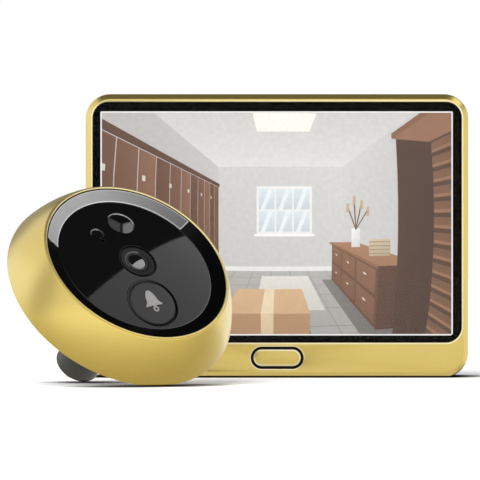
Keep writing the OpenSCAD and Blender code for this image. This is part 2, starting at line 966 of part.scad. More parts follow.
// Light bar's section, grown by a gap at its sides and by extra height
module bar_section(gap, extra) {
    inner_r = bar_r - gap;
    outer_r = bar_r + bar_w + gap;
    polygon([
        [inner_r, slope_z(inner_r) - bar_t], [outer_r, slope_z(outer_r) - bar_t],
        [outer_r, slope_z(outer_r) + extra], [inner_r, slope_z(inner_r) + extra]
    ]);
}

// Arc about the camera's axis over the light bar's angles, shortened or grown at both ends
module bar_arc(grow) {
    rotate(bar_from - grow)
        rotate_extrude(angle = bar_to - bar_from + 2 * grow)
            children();
}

module face_ring() {
    bar_end_gap = 0.2;
    trough_end = 3;
    trough_top = slope_z(bar_r) - bar_t + 0.1;
    color(black)
        place_camera()
            difference() {
                rotate_extrude()
                    polygon([
                        [ring_seat_r, ring_back_z], [ring_skirt_r, ring_back_z], [ring_skirt_r, seat_z],
                        [ring_r, seat_z], [ring_r, ring_top_z], [plate_r, plate_z],
                        [plate_r, plate_back_z], [ring_seat_r, plate_back_z]
                    ]);
                bar_arc(bar_end_gap)
                    bar_section(fit, 1);
                bar_arc(-trough_end)
                    translate([bar_r, ring_back_z - 1])
                        square([2 * (led_r - bar_r), trough_top - ring_back_z + 1]);
            }
}

module light_bar() {
    color("#9c9c9c")
        place_camera()
            bar_arc(0)
                bar_section(0, 0);
}

module bar_leds() {
    led_margin = 10;
    led_span = bar_to - bar_from - 2 * led_margin;
    led_angles = [for (i = [0:led_count - 1]) bar_from + led_margin + i * led_span / (led_count - 1)];
    color("#f0ead0")
        place_camera()
            around_axis(led_r, led_angles)
                translate([0, 0, camera_board_top + led_h / 2])
                    cube([led_d, led_w, led_h], center = true);
}

module face_plate() {
    mic_hole_r = 0.4;
    color(graphite)
        place_camera()
            difference() {
                under_face()
                    rod_z(0, 0, plate_r - fit, plate_back_z, face_top_z + 1);
                face_hole(0, 0, lens_ring_r + fit);
                face_hole(0, bell_y, bell_collar_r + fit);
                face_hole(0, pir_y, pir_r + fit);
                face_hole(window_x, window_y, window_r + fit);
                face_hole(mic_x, mic_y, mic_hole_r);
            }
}

// Round hole through the face plate
module face_hole(x, y, r) {
    rod_z(x, y, r, plate_back_z - 1, face_top_z + 1);
}

// Round window along the camera's axis, cut off in front by a ball
module ball_window(x, y, r, z0, ball_centre, ball_r) {
    intersection() {
        rod_z(x, y, r, z0, ball_centre[2] + ball_r);
        translate(ball_centre)
            sphere(ball_r);
    }
}

module pir_lens() {
    ball_r = cap_ball_r(pir_r, pir_h);
    ball_centre = face_centre + (face_ball_r + pir_h - ball_r) * face_dir(0, pir_y);
    color("#5a5a5a")
        place_camera() {
            ball_window(0, pir_y, pir_r, plate_back_z - pir_flange_t, ball_centre, ball_r);
            rod_z(0, pir_y, pir_flange_r, plate_back_z - pir_flange_t, plate_back_z);
        }
}

module pir_sensor() {
    can_r = pir_r + 0.4;
    can_top = plate_back_z - pir_flange_t - 0.3;
    color(steel)
        place_camera()
            rod_z(0, pir_y, can_r, camera_board_top, can_top);
}

module light_window() {
    flange_w = 0.3;
    flange_t = 0.5;
    rise = 0.1;
    color("#2a2a2a")
        place_camera() {
            under_face(rise)
                rod_z(window_x, window_y, window_r, plate_back_z - flange_t, face_top_z + 1);
            rod_z(window_x, window_y, window_r + flange_w, plate_back_z - flange_t, plate_back_z);
        }
}

// Small square chip on the camera board, centred on [x, y]
module chip(x, y, w, t) {
    block([x - w / 2, y - w / 2, camera_board_top], [x + w / 2, y + w / 2, camera_board_top + t]);
}

module light_sensor() {
    chip_w = 1.6;
    chip_t = 0.8;
    up = 0.3;
    color("#303030")
        place_camera()
            chip(window_x, window_y + up, chip_w, chip_t);
}

module camera_microphone() {
    chip_w = 2;
    chip_t = 1;
    down = 0.7;
    color(steel)
        place_camera()
            chip(mic_x, mic_y - down, chip_w, chip_t);
}

module lens_ring() {
    bore_r = lens_barrel_r + 2 * fit;
    land_r = lens_ring_r - lens_groove_w;
    groove_z = face_z(lens_ring_r) - lens_groove_d;
    color("#1c1c1c")
        place_camera()
            rotate_extrude()
                polygon([
                    [bore_r, lens_flange_z], [lens_flange_r, lens_flange_z], [lens_flange_r, plate_back_z],
                    [lens_ring_r, plate_back_z], [lens_ring_r, groove_z], [land_r, groove_z],
                    [land_r, face_z(land_r)], [bore_r, lens_barrel_top]
                ]);
}

module lens_barrel() {
    bore_r = lens_r - 0.6;
    color("#0c0c0c")
        place_camera()
            difference() {
                rod_z(0, 0, lens_barrel_r, lens_barrel_z, lens_barrel_top);
                rod_z(0, 0, lens_r + fit, lens_seat_z, lens_barrel_top + 1);
                rod_z(0, 0, bore_r, lens_barrel_z - 1, lens_seat_z + 1);
            }
}

module front_lens() {
    ball_r = cap_ball_r(lens_r, lens_dome_h);
    color("#7d8288")
        place_camera()
            ball_window(0, 0, lens_r, lens_seat_z, [0, 0, lens_edge_z + lens_dome_h - ball_r], ball_r);
}

module lens_holder() {
    pocket_w = sensor_w + 0.6;
    pocket_top = lens_barrel_z - 0.2;
    color("#161616")
        place_camera()
            difference() {
                chip(0, 0, holder_w, holder_top - camera_board_top);
                block(
                    [-pocket_w / 2, -pocket_w / 2, camera_board_top - 1],
                    [pocket_w / 2, pocket_w / 2, pocket_top]
                );
                rod_z(0, 0, lens_barrel_r + fit, pocket_top - 0.1, holder_top + 1);
            }
}

module image_sensor() {
    color("#46524a")
        place_camera()
            chip(0, 0, sensor_w, sensor_t);
}

module bell_collar() {
    flange_z = plate_back_z - bell_flange_t;
    color(black)
        place_camera()
            difference() {
                union() {
                    under_face(-bell_groove_d)
                        rod_z(0, bell_y, bell_collar_r, flange_z, face_top_z);
                    rod_z(0, bell_y, bell_flange_r, flange_z, plate_back_z);
                }
                rod_z(0, bell_y, bell_r + slide_gap, flange_z - 1, face_top_z + 1);
            }
}

module bell_button() {
    retainer_t = 0.65;
    color(graphite)
        place_camera() {
            under_face()
                rod_z(0, bell_y, bell_r, bell_stop_z - retainer_t, face_top_z + 1);
            rod_z(0, bell_y, bell_collar_r, bell_stop_z - retainer_t, bell_stop_z);
            rod_z(0, bell_y, bell_stem_r, bell_stem_z, bell_stop_z);
        }
}

// Bell in outline, of height 1, its middle at the origin
module bell_outline() {
    half = [[0.335, -0.26], [0.24, -0.15], [0.2, 0.08], [0.14, 0.3], [0.05, 0.48]];
    left = [for (i = [len(half) - 1:-1:0]) [-half[i][0], half[i][1]]];
    polygon(concat(half, left));
    translate([0, -0.39])
        difference() {
            circle(0.11);
            circle(0.05);
        }
    translate([-0.035, -0.33])
        square([0.07, 0.1]);
}

module bell_symbol() {
    color("#aaa8a8")
        place_camera()
            difference() {
                under_face(symbol_t)
                    translate([0, bell_y, plate_z])
                        linear_extrude(plate_rise + 1)
                            rotate(symbol_turn)
                                scale(symbol_h)
                                    bell_outline();
                face_ball(0);
            }
}

module bell_switch() {
    color("#262626")
        place_camera()
            chip(0, bell_y, bell_switch_w, bell_switch_t);
}

module camera_board() {
    color(green)
        place_camera()
            difference() {
                rod_z(0, 0, camera_board_r, camera_board_z, camera_board_top);
                around_axis(camera_screw_ring_r, camera_screw_angles)
                    rod_z(0, 0, screw_pass_r, camera_board_z - 1, camera_board_top + 1);
            }
}

module camera_board_screws() {
    color(steel)
        place_camera()
            around_axis(camera_screw_ring_r, camera_screw_angles) {
                rod_z(0, 0, screw_head_r, camera_board_top, camera_board_top + screw_head_h);
                rod_z(0, 0, screw_r, camera_board_z - camera_screw_bite, camera_board_top + screw_head_h / 2);
            }
}

module ribbon_socket() {
    w = 10;
    h = 3.5;
    t = 1.3;
    low_y = 9.5;
    color("#d9d4c6")
        place_camera()
            block([-w / 2, low_y, camera_board_z - t], [w / 2, low_y + h, camera_board_z]);
}

module back_cover() {
    camera_post_r = 2.2;
    head_gap = 0.1;
    bite_z = camera_board_z - camera_screw_bite - 0.3;
    color("#222222")
        place_camera()
            difference() {
                union() {
                    rod_z(0, 0, cover_r, 0, cover_t);
                    around_axis(camera_screw_ring_r, camera_screw_angles)
                        rod_z(0, 0, camera_post_r, cover_t / 2, camera_board_z);
                }
                rod_z(0, 0, barrel_neck_r + fit, -1, cover_t + 1);
                around_axis(camera_screw_ring_r, camera_screw_angles)
                    rod_z(0, 0, screw_hole_r, bite_z, camera_board_z + 1);
                around_axis(back_screw_ring_r, back_screw_angles) {
                    rod_z(0, 0, screw_head_r + head_gap, -1, back_head_h);
                    rod_z(0, 0, screw_pass_r, -1, cover_t + 1);
                }
            }
}

module back_screws() {
    head_sunk = 0.1;
    color("#3c3c3c")
        place_camera()
            around_axis(back_screw_ring_r, back_screw_angles) {
                rod_z(0, 0, screw_head_r, head_sunk, back_head_h);
                rod_z(0, 0, screw_r, back_head_h / 2, back_head_h + back_screw_len);
            }
}

module barrel() {
    color("#444240")
        place_camera()
            difference() {
                union() {
                    rod_z(0, 0, barrel_r, -barrel_len, cover_t);
                    rod_z(0, 0, barrel_neck_r, 0, cover_t);
                    rod_z(0, 0, barrel_flange_r, cover_t, cover_t + barrel_flange_t);
                }
                rod_z(0, 0, barrel_bore_r, -barrel_len - 1, cover_t + barrel_flange_t + 1);
            }
}

module barrel_grommet() {
    color("#141414")
        place_camera()
            difference() {
                rod_z(0, 0, barrel_bore_r - fit, -barrel_len, -barrel_len + grommet_len);
                rod_z(0, 0, cable_r, -barrel_len - 1, -barrel_len + grommet_len + 1);
            }
}

module door_gasket() {
    gasket_r = cover_r - 0.4;
    gasket_hole_r = barrel_r + 3.2;
    color("#1a1a1a")
        place_camera()
            difference() {
                rod_z(0, 0, gasket_r, -gasket_t, 0);
                rod_z(0, 0, gasket_hole_r, -gasket_t - 1, 1);
            }
}

front_frame();
cover_glass();
glass_tape();
lcd_panel();
backlight();
lcd_tray();
display_ribbon();
button_collar();
home_button();
home_switch();
main_board();
processor_shield();
camera_socket();
usb_port();
card_slot();
board_screws();
battery();
speaker();
speaker_mesh();
rear_housing();
housing_screws();
door_bracket();
bracket_pads();
camera_bezel();
face_ring();
light_bar();
bar_leds();
face_plate();
pir_lens();
pir_sensor();
light_window();
light_sensor();
lens_ring();
lens_barrel();
front_lens();
lens_holder();
image_sensor();
bell_collar();
bell_button();
bell_symbol();
bell_switch();
camera_board();
camera_board_screws();
ribbon_socket();
camera_microphone();
back_cover();
back_screws();
barrel();
barrel_grommet();
door_gasket();
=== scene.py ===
# Looks of the peephole door camera: finer meshes, materials, the screen's picture, lights and camera.
# The frame is in metres. Sizes below are in millimetres and are turned into metres as pieces are made.
import math

import bmesh
import bpy
from mathutils import Matrix, Vector


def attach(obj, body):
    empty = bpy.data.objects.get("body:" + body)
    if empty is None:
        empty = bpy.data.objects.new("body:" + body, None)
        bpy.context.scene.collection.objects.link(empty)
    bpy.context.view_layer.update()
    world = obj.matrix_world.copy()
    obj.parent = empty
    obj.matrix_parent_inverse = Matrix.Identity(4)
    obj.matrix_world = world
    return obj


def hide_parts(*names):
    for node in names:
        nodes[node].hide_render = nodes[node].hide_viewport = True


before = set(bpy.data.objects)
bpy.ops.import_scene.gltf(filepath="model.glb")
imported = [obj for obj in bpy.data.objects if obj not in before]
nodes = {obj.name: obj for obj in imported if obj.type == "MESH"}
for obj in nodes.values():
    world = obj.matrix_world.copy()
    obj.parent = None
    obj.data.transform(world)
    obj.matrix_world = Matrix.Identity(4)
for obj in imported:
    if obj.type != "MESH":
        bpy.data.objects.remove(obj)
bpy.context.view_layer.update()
scene = bpy.context.scene
scene.view_settings.view_transform = "Standard"

MM = 0.001
FIT = 0.08

# Sizes of the screen unit: y is the depth, with the front at the lowest y, and z is the height
CASE_W, CASE_H, CASE_R = 100, 74, 6.4
FRONT_Y, SPLIT_Y = -11, 2.2
WALL = 1.5
OPEN_W, OPEN_H, OPEN_Z, OPEN_R = 96.5, 63, 40.5, 4.2
GLASS_Y, GLASS_BACK_Y, LEDGE_Y, PANEL_Y = -10.8, -9.7, -9.4, -8.2
LEDGE_W = 1.5
HOME_W, HOME_H, HOME_Z, HOME_RING = 12.3, 4.3, 5.1, 0.7
LIT_LEFT, LIT_RIGHT, LIT_LOW, LIT_HIGH = -46.2, 45.95, 10.9, 69.5
LIT_X, LIT_Z = (LIT_LEFT + LIT_RIGHT) / 2, (LIT_LOW + LIT_HIGH) / 2
LIT_W, LIT_H = LIT_RIGHT - LIT_LEFT, LIT_HIGH - LIT_LOW

# Sizes of the camera unit, in its own frame: z is the height above the door plane
RIM_R, LIP_H, FACE_R, LIP_R = 30, 11.7, 23.8, 24.4
COVER_BORE, COVER_T, CAVITY_R, SEAT_Z = 27.48, 1.6, 22.3, 9.0
PLATE_R, PLATE_Z, PLATE_BACK, PLATE_RISE = 20.4, 10.27, 8.77, 1.7
RING_R, RING_TOP = 23.72, 11.55
BELL_Y, BELL_R = -12.7, 6.2
PIR_Y, PIR_R = 12.6, 3.6
WINDOW_X, WINDOW_Y, WINDOW_R = -7.9, 9.2, 1.7
MIC_X, MIC_Y, MIC_R = -7.1, 6.9, 0.4
BARREL_R, BARREL_BORE, BARREL_LEN = 5.75, 4.3, 29.1
LEAN = math.atan((RIM_R - BARREL_R) / BARREL_LEN)
CAMERA_X, CAMERA_Y, CAMERA_TURN = -39.6, -67.1, math.radians(30.35)
CAMERA_PLACE = (
    Matrix.Translation((CAMERA_X, CAMERA_Y, RIM_R * math.cos(LEAN)))
    @ Matrix.Rotation(CAMERA_TURN, 4, "Z")
    @ Matrix.Rotation(math.pi / 2 - LEAN, 4, "X")
)
IN_PLACE = Matrix.Identity(4)


# Colour and shader helpers

def linear(red, green, blue):
    """Linear colour of an sRGB one, given from 0 to 255."""
    def part(v):
        v /= 255
        return v / 12.92 if v <= 0.04045 else ((v + 0.055) / 1.055) ** 2.4
    return part(red), part(green), part(blue), 1.0


def shader_tree(name):
    mat = bpy.data.materials.new(name)
    mat.use_nodes = True
    tree = mat.node_tree
    return mat, tree, tree.nodes["Principled BSDF"]


def noise(tree, grain, detail=3.0, stretch=(1, 1, 1)):
    """Noise with blotches about grain millimetres across, in the object's own frame."""
    coords = tree.nodes.new("ShaderNodeTexCoord")
    mapping = tree.nodes.new("ShaderNodeMapping")
    mapping.inputs["Scale"].default_value = stretch
    texture = tree.nodes.new("ShaderNodeTexNoise")
    texture.inputs["Scale"].default_value = 1 / (grain * MM)
    texture.inputs["Detail"].default_value = detail
    tree.links.new(coords.outputs["Object"], mapping.inputs["Vector"])
    tree.links.new(mapping.outputs["Vector"], texture.inputs["Vector"])
    return texture.outputs["Fac"]


def remap(tree, value, low, high):
    """Takes noise, which keeps mostly between 0.3 and 0.7, to between low and high."""
    node = tree.nodes.new("ShaderNodeMapRange")
    node.inputs["From Min"].default_value = 0.3
    node.inputs["From Max"].default_value = 0.7
    node.inputs["To Min"].default_value = low
    node.inputs["To Max"].default_value = high
    tree.links.new(value, node.inputs["Value"])
    return node.outputs["Result"]


def blend(tree, value, first, second):
    """Colour between two, by a value from 0 to 1."""
    node = tree.nodes.new("ShaderNodeMix")
    node.data_type = "RGBA"
    node.inputs["A"].default_value = first
    node.inputs["B"].default_value = second
    tree.links.new(value, node.inputs["Factor"])
    return node.outputs["Result"]


def scaled(tree, colour, factor):
    """Colour times a value."""
    node = tree.nodes.new("ShaderNodeVectorMath")
    node.operation = "SCALE"
    tree.links.new(colour, node.inputs[0])
    tree.links.new(factor, node.inputs["Scale"])
    return node.outputs["Vector"]


def stored_tint(tree, grain):
    """Colour that is stored in the points of the mesh, a little uneven."""
    tint = tree.nodes.new("ShaderNodeAttribute")
    tint.attribute_name = "tint"
    return scaled(tree, tint.outputs["Color"], remap(tree, noise(tree, grain), 0.96, 1.04))


MATERIALS = {}


def surface(name, colour, rough, metal=0.0, tone=0.05, blotch=6.0, grain=0.25, depth=0.0, specular=0.5,
            rough_spread=0.03, stretch=(1, 1, 1), ior=1.5, coat=0.0):
    """Keeps a plain material: a base colour with slow tonal drift, uneven gloss and a fine moulded grain."""
    mat, tree, shader = shader_tree(name)
    base = linear(*colour)
    drift = noise(tree, blotch, stretch=stretch)
    darker = tuple(c * (1 - tone) for c in base[:3]) + (1.0,)
    lighter = tuple(min(c * (1 + tone), 1.0) for c in base[:3]) + (1.0,)
    tree.links.new(blend(tree, remap(tree, drift, 0, 1), darker, lighter), shader.inputs["Base Color"])
    fine = noise(tree, grain, 2.0, stretch)
    gloss = remap(tree, fine, rough - rough_spread, rough + rough_spread)
    tree.links.new(gloss, shader.inputs["Roughness"])
    shader.inputs["Metallic"].default_value = metal
    shader.inputs["Specular IOR Level"].default_value = specular
    shader.inputs["IOR"].default_value = ior
    shader.inputs["Coat Weight"].default_value = coat
    shader.inputs["Coat Roughness"].default_value = 0.25
    if depth:
        bump = tree.nodes.new("ShaderNodeBump")
        bump.inputs["Strength"].default_value = 0.6
        bump.inputs["Distance"].default_value = depth * MM
        tree.links.new(fine, bump.inputs["Height"])
        tree.links.new(bump.outputs["Normal"], shader.inputs["Normal"])
    MATERIALS[name] = mat


# Values without a name are, in order: sRGB colour, roughness, metal, tone, blotch, grain and depth of grain
surface("gold_frame", (217, 193, 110), 0.3, 0.85, 0.02, 9, 0.12, 0.002, coat=0.3)
surface("gold_metal", (217, 193, 108), 0.3, 0.85, 0.02, 9, 0.12, 0.003, coat=0.5)
surface("cover_glass", (5, 5, 5), 0.1, 0, 0.1, 20, 4, specular=0.03)
surface("black_gloss", (6, 6, 6), 0.2, 0, 0.1, 8, 3, specular=0.12)
surface("face_plastic", (15, 15, 15), 0.045, 0, 0.06, 8, 3, specular=0.3, rough_spread=0.012)
surface("button_plastic", (38, 38, 38), 0.28, 0, 0.05, 6, 0.15, 0.002, specular=0.28)
surface("black_plastic", (26, 26, 27), 0.5, 0, 0.08, 8, 0.35, 0.02)
surface("display", (40, 43, 46), 0.2, 0, 0.08, 6, 0.3)
surface("backlight", (232, 232, 228), 0.45, 0, 0.03, 6, 0.3)
surface("steel", (186, 188, 191), 0.33, 0.9, 0.05, 3, 0.2, 0.003, stretch=(1, 1, 12))
surface("ribbon", (184, 120, 42), 0.4, 0, 0.08, 2, 0.2)
surface("circuit_board", (31, 90, 58), 0.42, 0, 0.15, 3, 0.3, 0.01)
surface("connector", (214, 208, 192), 0.45, 0, 0.04, 3, 0.2, 0.005)
surface("battery_wrap", (201, 204, 208), 0.3, 0.5, 0.05, 5, 0.6, 0.02)
surface("dark_screw", (64, 64, 66), 0.35, 0.85, 0.08, 1, 0.15, 0.004)
surface("mesh", (24, 24, 24), 0.75, 0, 0.3, 0.5, 0.2, 0.05)
surface("light_diffuser", (176, 174, 172), 0.25, 0, 0.05, 5, 0.4)
surface("sensor_lens", (30, 30, 31), 0.12, 0, 0.1, 2, 0.5)
surface("lens_glass", (10, 11, 14), 0.03, 0, 0.1, 2, 1, specular=1.0, rough_spread=0.01, ior=1.85)
surface("symbol_print", (150, 147, 146), 0.3, 0.1, 0.04, 2, 0.2)
surface("barrel_metal", (70, 68, 66), 0.42, 0.55, 0.08, 4, 0.2, 0.004)
surface("rubber", (22, 22, 22), 0.7, 0, 0.1, 3, 0.25, 0.02)
surface("foam", (30, 30, 31), 0.85, 0, 0.2, 1.5, 0.35, 0.12, specular=0.2)
# Paler gold for the thin edges on the chamfers and the lip: a painted highlight
surface("gold_edge_highlight", (252, 241, 200), 0.3, 0.6, 0.02, 9, 0.12)


def tinted(name, rough, specular=0.5):
    """Glossy material whose colour is stored in the points of the mesh."""
    mat, tree, shader = shader_tree(name)
    tree.links.new(stored_tint(tree, 4), shader.inputs["Base Color"])
    tree.links.new(remap(tree, noise(tree, 0.4), rough - 0.02, rough + 0.02), shader.inputs["Roughness"])
    shader.inputs["Specular IOR Level"].default_value = specular
    return mat


# Every CAD node gets the procedural material of its slot
for node in nodes.values():
    for place in node.material_slots:
        place.material = MATERIALS[place.material.name.split(".")[0]]


# Mesh helpers

def outward_mesh(name, verts, faces, place):
    """Mesh of points in millimetres, with its faces turned outwards."""
    mesh = bpy.data.meshes.new(name)
    mesh.from_pydata([(place @ Vector(v)) * MM for v in verts], [], faces)
    bm = bmesh.new()
    bm.from_mesh(mesh)
    bmesh.ops.recalc_face_normals(bm, faces=bm.faces)
    bm.to_mesh(mesh)
    bm.free()
    return mesh


def shade_smooth(mesh, sharp):
    """Smooth shading, apart from edges that turn by more than sharp, in degrees."""
    mesh.polygons.foreach_set("use_smooth", [True] * len(mesh.polygons))
    mesh.set_sharp_from_angle(angle=math.radians(sharp))


def place_object(name, data):
    made = bpy.data.objects.new(name, data)
    scene.collection.objects.link(made)
    return made


def add_piece(name, verts, faces, slot, body, place=IN_PLACE, replaces=(), sharp=35.0, material=None,
              greys=None):
    """Makes a piece from points in millimetres and hangs it on a body. Greys, if given, colour its points."""
    mesh = outward_mesh(name, verts, faces, place)
    if greys:
        tint = mesh.color_attributes.new("tint", "FLOAT_COLOR", "POINT")
        tint.data.foreach_set("color", [part for grey in greys for part in linear(grey, grey, grey)])
    shade_smooth(mesh, sharp)
    mesh.materials.append(material or MATERIALS[slot])
    piece = place_object(name, mesh)
    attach(piece, body)
    if replaces:
        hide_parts(*replaces)
    return piece


def camera_piece(name, shape, slot, body="camera", **more):
    """Piece of the camera unit. Its shape is points and faces in the unit's own frame."""
    return add_piece(name, *shape, slot, body, CAMERA_PLACE, **more)


def soften(corners, steps=5, closed=True):
    """Rounds the corners of a section. A corner is (a, b) or (a, b, size of its rounding)."""
    points = []
    last = len(corners) - 1
    for i, corner in enumerate(corners):
        here = Vector(corner[:2])
        size = corner[2] if len(corner) > 2 else 0
        if not size or (not closed and i in (0, last)):
            points.append(tuple(here))
            continue
        before = Vector(corners[i - 1][:2]) - here
        after = Vector(corners[(i + 1) % len(corners)][:2]) - here
        start = here + before.normalized() * min(size, 0.49 * before.length)
        end = here + after.normalized() * min(size, 0.49 * after.length)
        for k in range(steps + 1):
            t = k / steps
            points.append(tuple((1 - t) ** 2 * start + 2 * t * (1 - t) * here + t * t * end))
    return points


def around(count):
    """Turns, in radians, to count places evenly round a circle."""
    return [math.tau * k / count for k in range(count)]


def polar(centre, radius, turn):
    """Place at a radius and a turn, in radians, about a centre."""
    return centre[0] + radius * math.cos(turn), centre[1] + radius * math.sin(turn)


def lathe(section, segments=192, centre=(0, 0), closed=True):
    """Turns a section of (radius, height) points about an axis parallel to z."""
    verts, faces, rows = [], [], []
    for radius, height in section:
        if radius < 1e-6:
            rows.append([len(verts)] * segments)
            verts.append((centre[0], centre[1], height))
            continue
        rows.append(list(range(len(verts), len(verts) + segments)))
        verts += [(*polar(centre, radius, turn), height) for turn in around(segments)]
    following = rows[1:] + rows[:1] if closed else rows[1:]
    for first, second in zip(rows, following):
        for k in range(segments):
            n = (k + 1) % segments
            corners = list(dict.fromkeys((first[k], first[n], second[n], second[k])))
            if len(corners) > 2:
                faces.append(corners)
    return verts, faces


def rect_ring(w, h, r, y, z, steps=14):
    """Upright rounded rectangle, as points, centred on x = 0 and height z."""
    points = []
    for quarter, (sx, sz) in enumerate(((1, 1), (-1, 1), (-1, -1), (1, -1))):
        corner_x, corner_z = sx * (w / 2 - r), z + sz * (h / 2 - r)
        for k in range(steps + 1):
            turn = math.pi / 2 * (quarter + k / steps)
            points.append((corner_x + r * math.cos(turn), y, corner_z + r * math.sin(turn)))
    return points


def loft(rings, closed=True):
    """Joins rings of equal length. A closed loft joins the last to the first, an open one has flat ends."""
    count = len(rings[0])
    verts = [p for ring in rings for p in ring]
    faces = []
    for i in range(len(rings) if closed else len(rings) - 1):
        a, b = i * count, (i + 1) % len(rings) * count
        for k in range(count):
            n = (k + 1) % count
            faces.append((a + k, a + n, b + n, b + k))
    if not closed:
        faces.append(tuple(range(count)))
        faces.append(tuple(range(len(verts) - count, len(verts))))
    return verts, faces


def cut(piece, cutters, sharp=35.0):
    """Takes cutters out of a piece. A cutter is its points in millimetres, its faces and its place."""
    helpers = []
    for verts, faces, place in cutters:
        helper = place_object("cutter", outward_mesh("cutter", verts, faces, place))
        helpers.append(helper)
        step = piece.modifiers.new("cut", "BOOLEAN")
        step.object = helper
        step.solver = "EXACT"
    bpy.context.view_layer.update()
    done = bpy.data.meshes.new_from_object(piece.evaluated_get(bpy.context.evaluated_depsgraph_get()))
    piece.modifiers.clear()
    piece.data = done
    shade_smooth(done, sharp)
    for helper in helpers:
        bpy.data.objects.remove(helper)


def box(low, high):
    """Points and faces of a box between two corners."""
    verts = [(x, y, z) for x in (low[0], high[0]) for y in (low[1], high[1]) for z in (low[2], high[2])]
    faces = [(0, 1, 3, 2), (4, 6, 7, 5), (0, 4, 5, 1), (2, 3, 7, 6), (0, 2, 6, 4), (1, 5, 7, 3)]
    return verts, faces


def across_x(x, y0, y1, z0, z1):
    """Corners of a rectangle at right angles to the x axis."""
    return (x, y0, z0), (x, y1, z0), (x, y1, z1), (x, y0, z1)


def across_y(y, x0, x1, z0, z1):
    """Corners of a rectangle at right angles to the y axis."""
    return (x0, y, z0), (x1, y, z0), (x1, y, z1), (x0, y, z1)


def across_z(z, x0, x1, y0, y1):
    """Corners of a level rectangle."""
    return (x0, y0, z), (x1, y0, z), (x1, y1, z), (x0, y1, z)


def outline_rings(w, h, r, z, section):
    """Rings of a rounded rectangle that is drawn in by a and set at depth b, for each (a, b) of a section."""
    return [rect_ring(w - 2 * a, h - 2 * a, max(r - a, 0.02), b, z) for a, b in section]


# Front frame: a chamfered outer edge, and a narrow chamfer around the glass and around the home button
CHAMFER_W, CHAMFER_Y = 1.34, -9.6
JOINT_W, JOINT_D = 0.12, 0.15
outer_corners = [(JOINT_W, SPLIT_Y), (0, SPLIT_Y - JOINT_D), (0, CHAMFER_Y, 0.5)]
outer_corners += [(CHAMFER_W, FRONT_Y, 0.12), (CHAMFER_W + 0.05, FRONT_Y)]
outer = soften(outer_corners, 6, closed=False)
inner = [(-0.35, FRONT_Y), (-0.04, GLASS_Y - 0.07), (0, GLASS_Y)]
inner += [(0, LEDGE_Y), (LEDGE_W, LEDGE_Y), (LEDGE_W, PANEL_Y)]
shell = [(WALL, PANEL_Y), (WALL, SPLIT_Y)]
frame_rings = (
    outline_rings(CASE_W, CASE_H, CASE_R, CASE_H / 2, outer)
    + outline_rings(OPEN_W, OPEN_H, OPEN_R, OPEN_Z, inner)
    + outline_rings(CASE_W, CASE_H, CASE_R, CASE_H / 2, shell)
)
front = add_piece("front_frame_shell", *loft(frame_rings), "gold_frame", "monitor", replaces=("front_frame",))

# Openings in the frame: the home button's hole, the charging port at the right and the card slot at the left
HOLE_W, HOLE_H = HOME_W + 2 * (HOME_RING + FIT), HOME_H + 2 * (HOME_RING + FIT)
PORT_IN, PORT_OUT = CASE_W / 2 - WALL - 1, CASE_W / 2 + 1
PORT_FRONT, PORT_BACK = -1.15, SPLIT_Y + 1
USB_Z, USB_W, CARD_Z, CARD_W = 18, 8.2, 22, 12.6
hole_section = [(-0.45, FRONT_Y - 0.06), (0, FRONT_Y + 0.12), (0, PANEL_Y + 1)]
hole = outline_rings(HOLE_W, HOLE_H, HOLE_H / 2, HOME_Z, hole_section)
usb_gap = box((PORT_IN, PORT_FRONT, USB_Z - USB_W / 2), (PORT_OUT, PORT_BACK, USB_Z + USB_W / 2))
card_gap = box((-PORT_OUT, PORT_FRONT, CARD_Z - CARD_W / 2), (-PORT_IN, PORT_BACK, CARD_Z + CARD_W / 2))
cut(front, [(*loft(hole, False), IN_PLACE), (*usb_gap, IN_PLACE), (*card_gap, IN_PLACE)])


def edge_trim(name, w, h, r, z, section, body):
    """Thin edge on a chamfer, in a paler gold that is a painted highlight. The section is of (distance
    inwards, depth) points.
    """
    shape = loft(outline_rings(w, h, r, z, section))
    add_piece(name, *shape, "gold_frame", body, material=MATERIALS["gold_edge_highlight"])


# Painted highlights along the chamfers of the glass, the button hole and the button's cap
glass_trim = [(-0.34, -11.012), (-0.02, -10.885), (-0.02, -10.8), (-0.34, -10.95)]
button_trim = [(-0.36, -11.012), (-0.02, -10.9), (-0.02, -10.8), (-0.36, -10.95)]
cap_trim = [(0.02, -10.785), (0.36, -10.925), (0.4, -10.86), (0.06, -10.7)]
edge_trim("glass_edge", OPEN_W, OPEN_H, OPEN_R, OPEN_Z, glass_trim, "monitor")
edge_trim("button_edge", HOLE_W, HOLE_H, HOLE_H / 2, HOME_Z, button_trim, "monitor")
edge_trim("cap_edge", HOME_W, HOME_H, HOME_H / 2, HOME_Z, cap_trim, "home_button")

# Home button: a crowned cap with a narrow chamfer, and the flange behind it, in a black ring
FLANGE_W, FLANGE_Y, FLANGE_BACK_Y = 1.1, -8.1, -7.3
flange = [(-FLANGE_W, FLANGE_BACK_Y), (-FLANGE_W, FLANGE_Y), (0, FLANGE_Y)]
cap = soften([(0, FLANGE_Y), (0, -10.76, 0.08), (0.32, -10.9, 0.1), (1.0, -10.955), (2.1, -10.99)], 3, False)
cap_rings = outline_rings(HOME_W, HOME_H, HOME_H / 2, HOME_Z, flange + cap[1:])
add_piece("home_button_cap", *loft(cap_rings, False), "gold_frame", "home_button",
          replaces=("home_button",), sharp=50)
COLLAR_W, COLLAR_H = HOME_W + 2 * HOME_RING, HOME_H + 2 * HOME_RING
COLLAR_T, COLLAR_Y = HOME_RING - 0.1, FRONT_Y + 0.1
collar = soften([(0, PANEL_Y), (0, COLLAR_Y, 0.1), (COLLAR_T, COLLAR_Y, 0.1), (COLLAR_T, PANEL_Y)], 3)
collar_rings = outline_rings(COLLAR_W, COLLAR_H, COLLAR_H / 2, HOME_Z, collar)
add_piece("home_button_ring", *loft(collar_rings), "black_gloss", "monitor", replaces=("button_collar",))
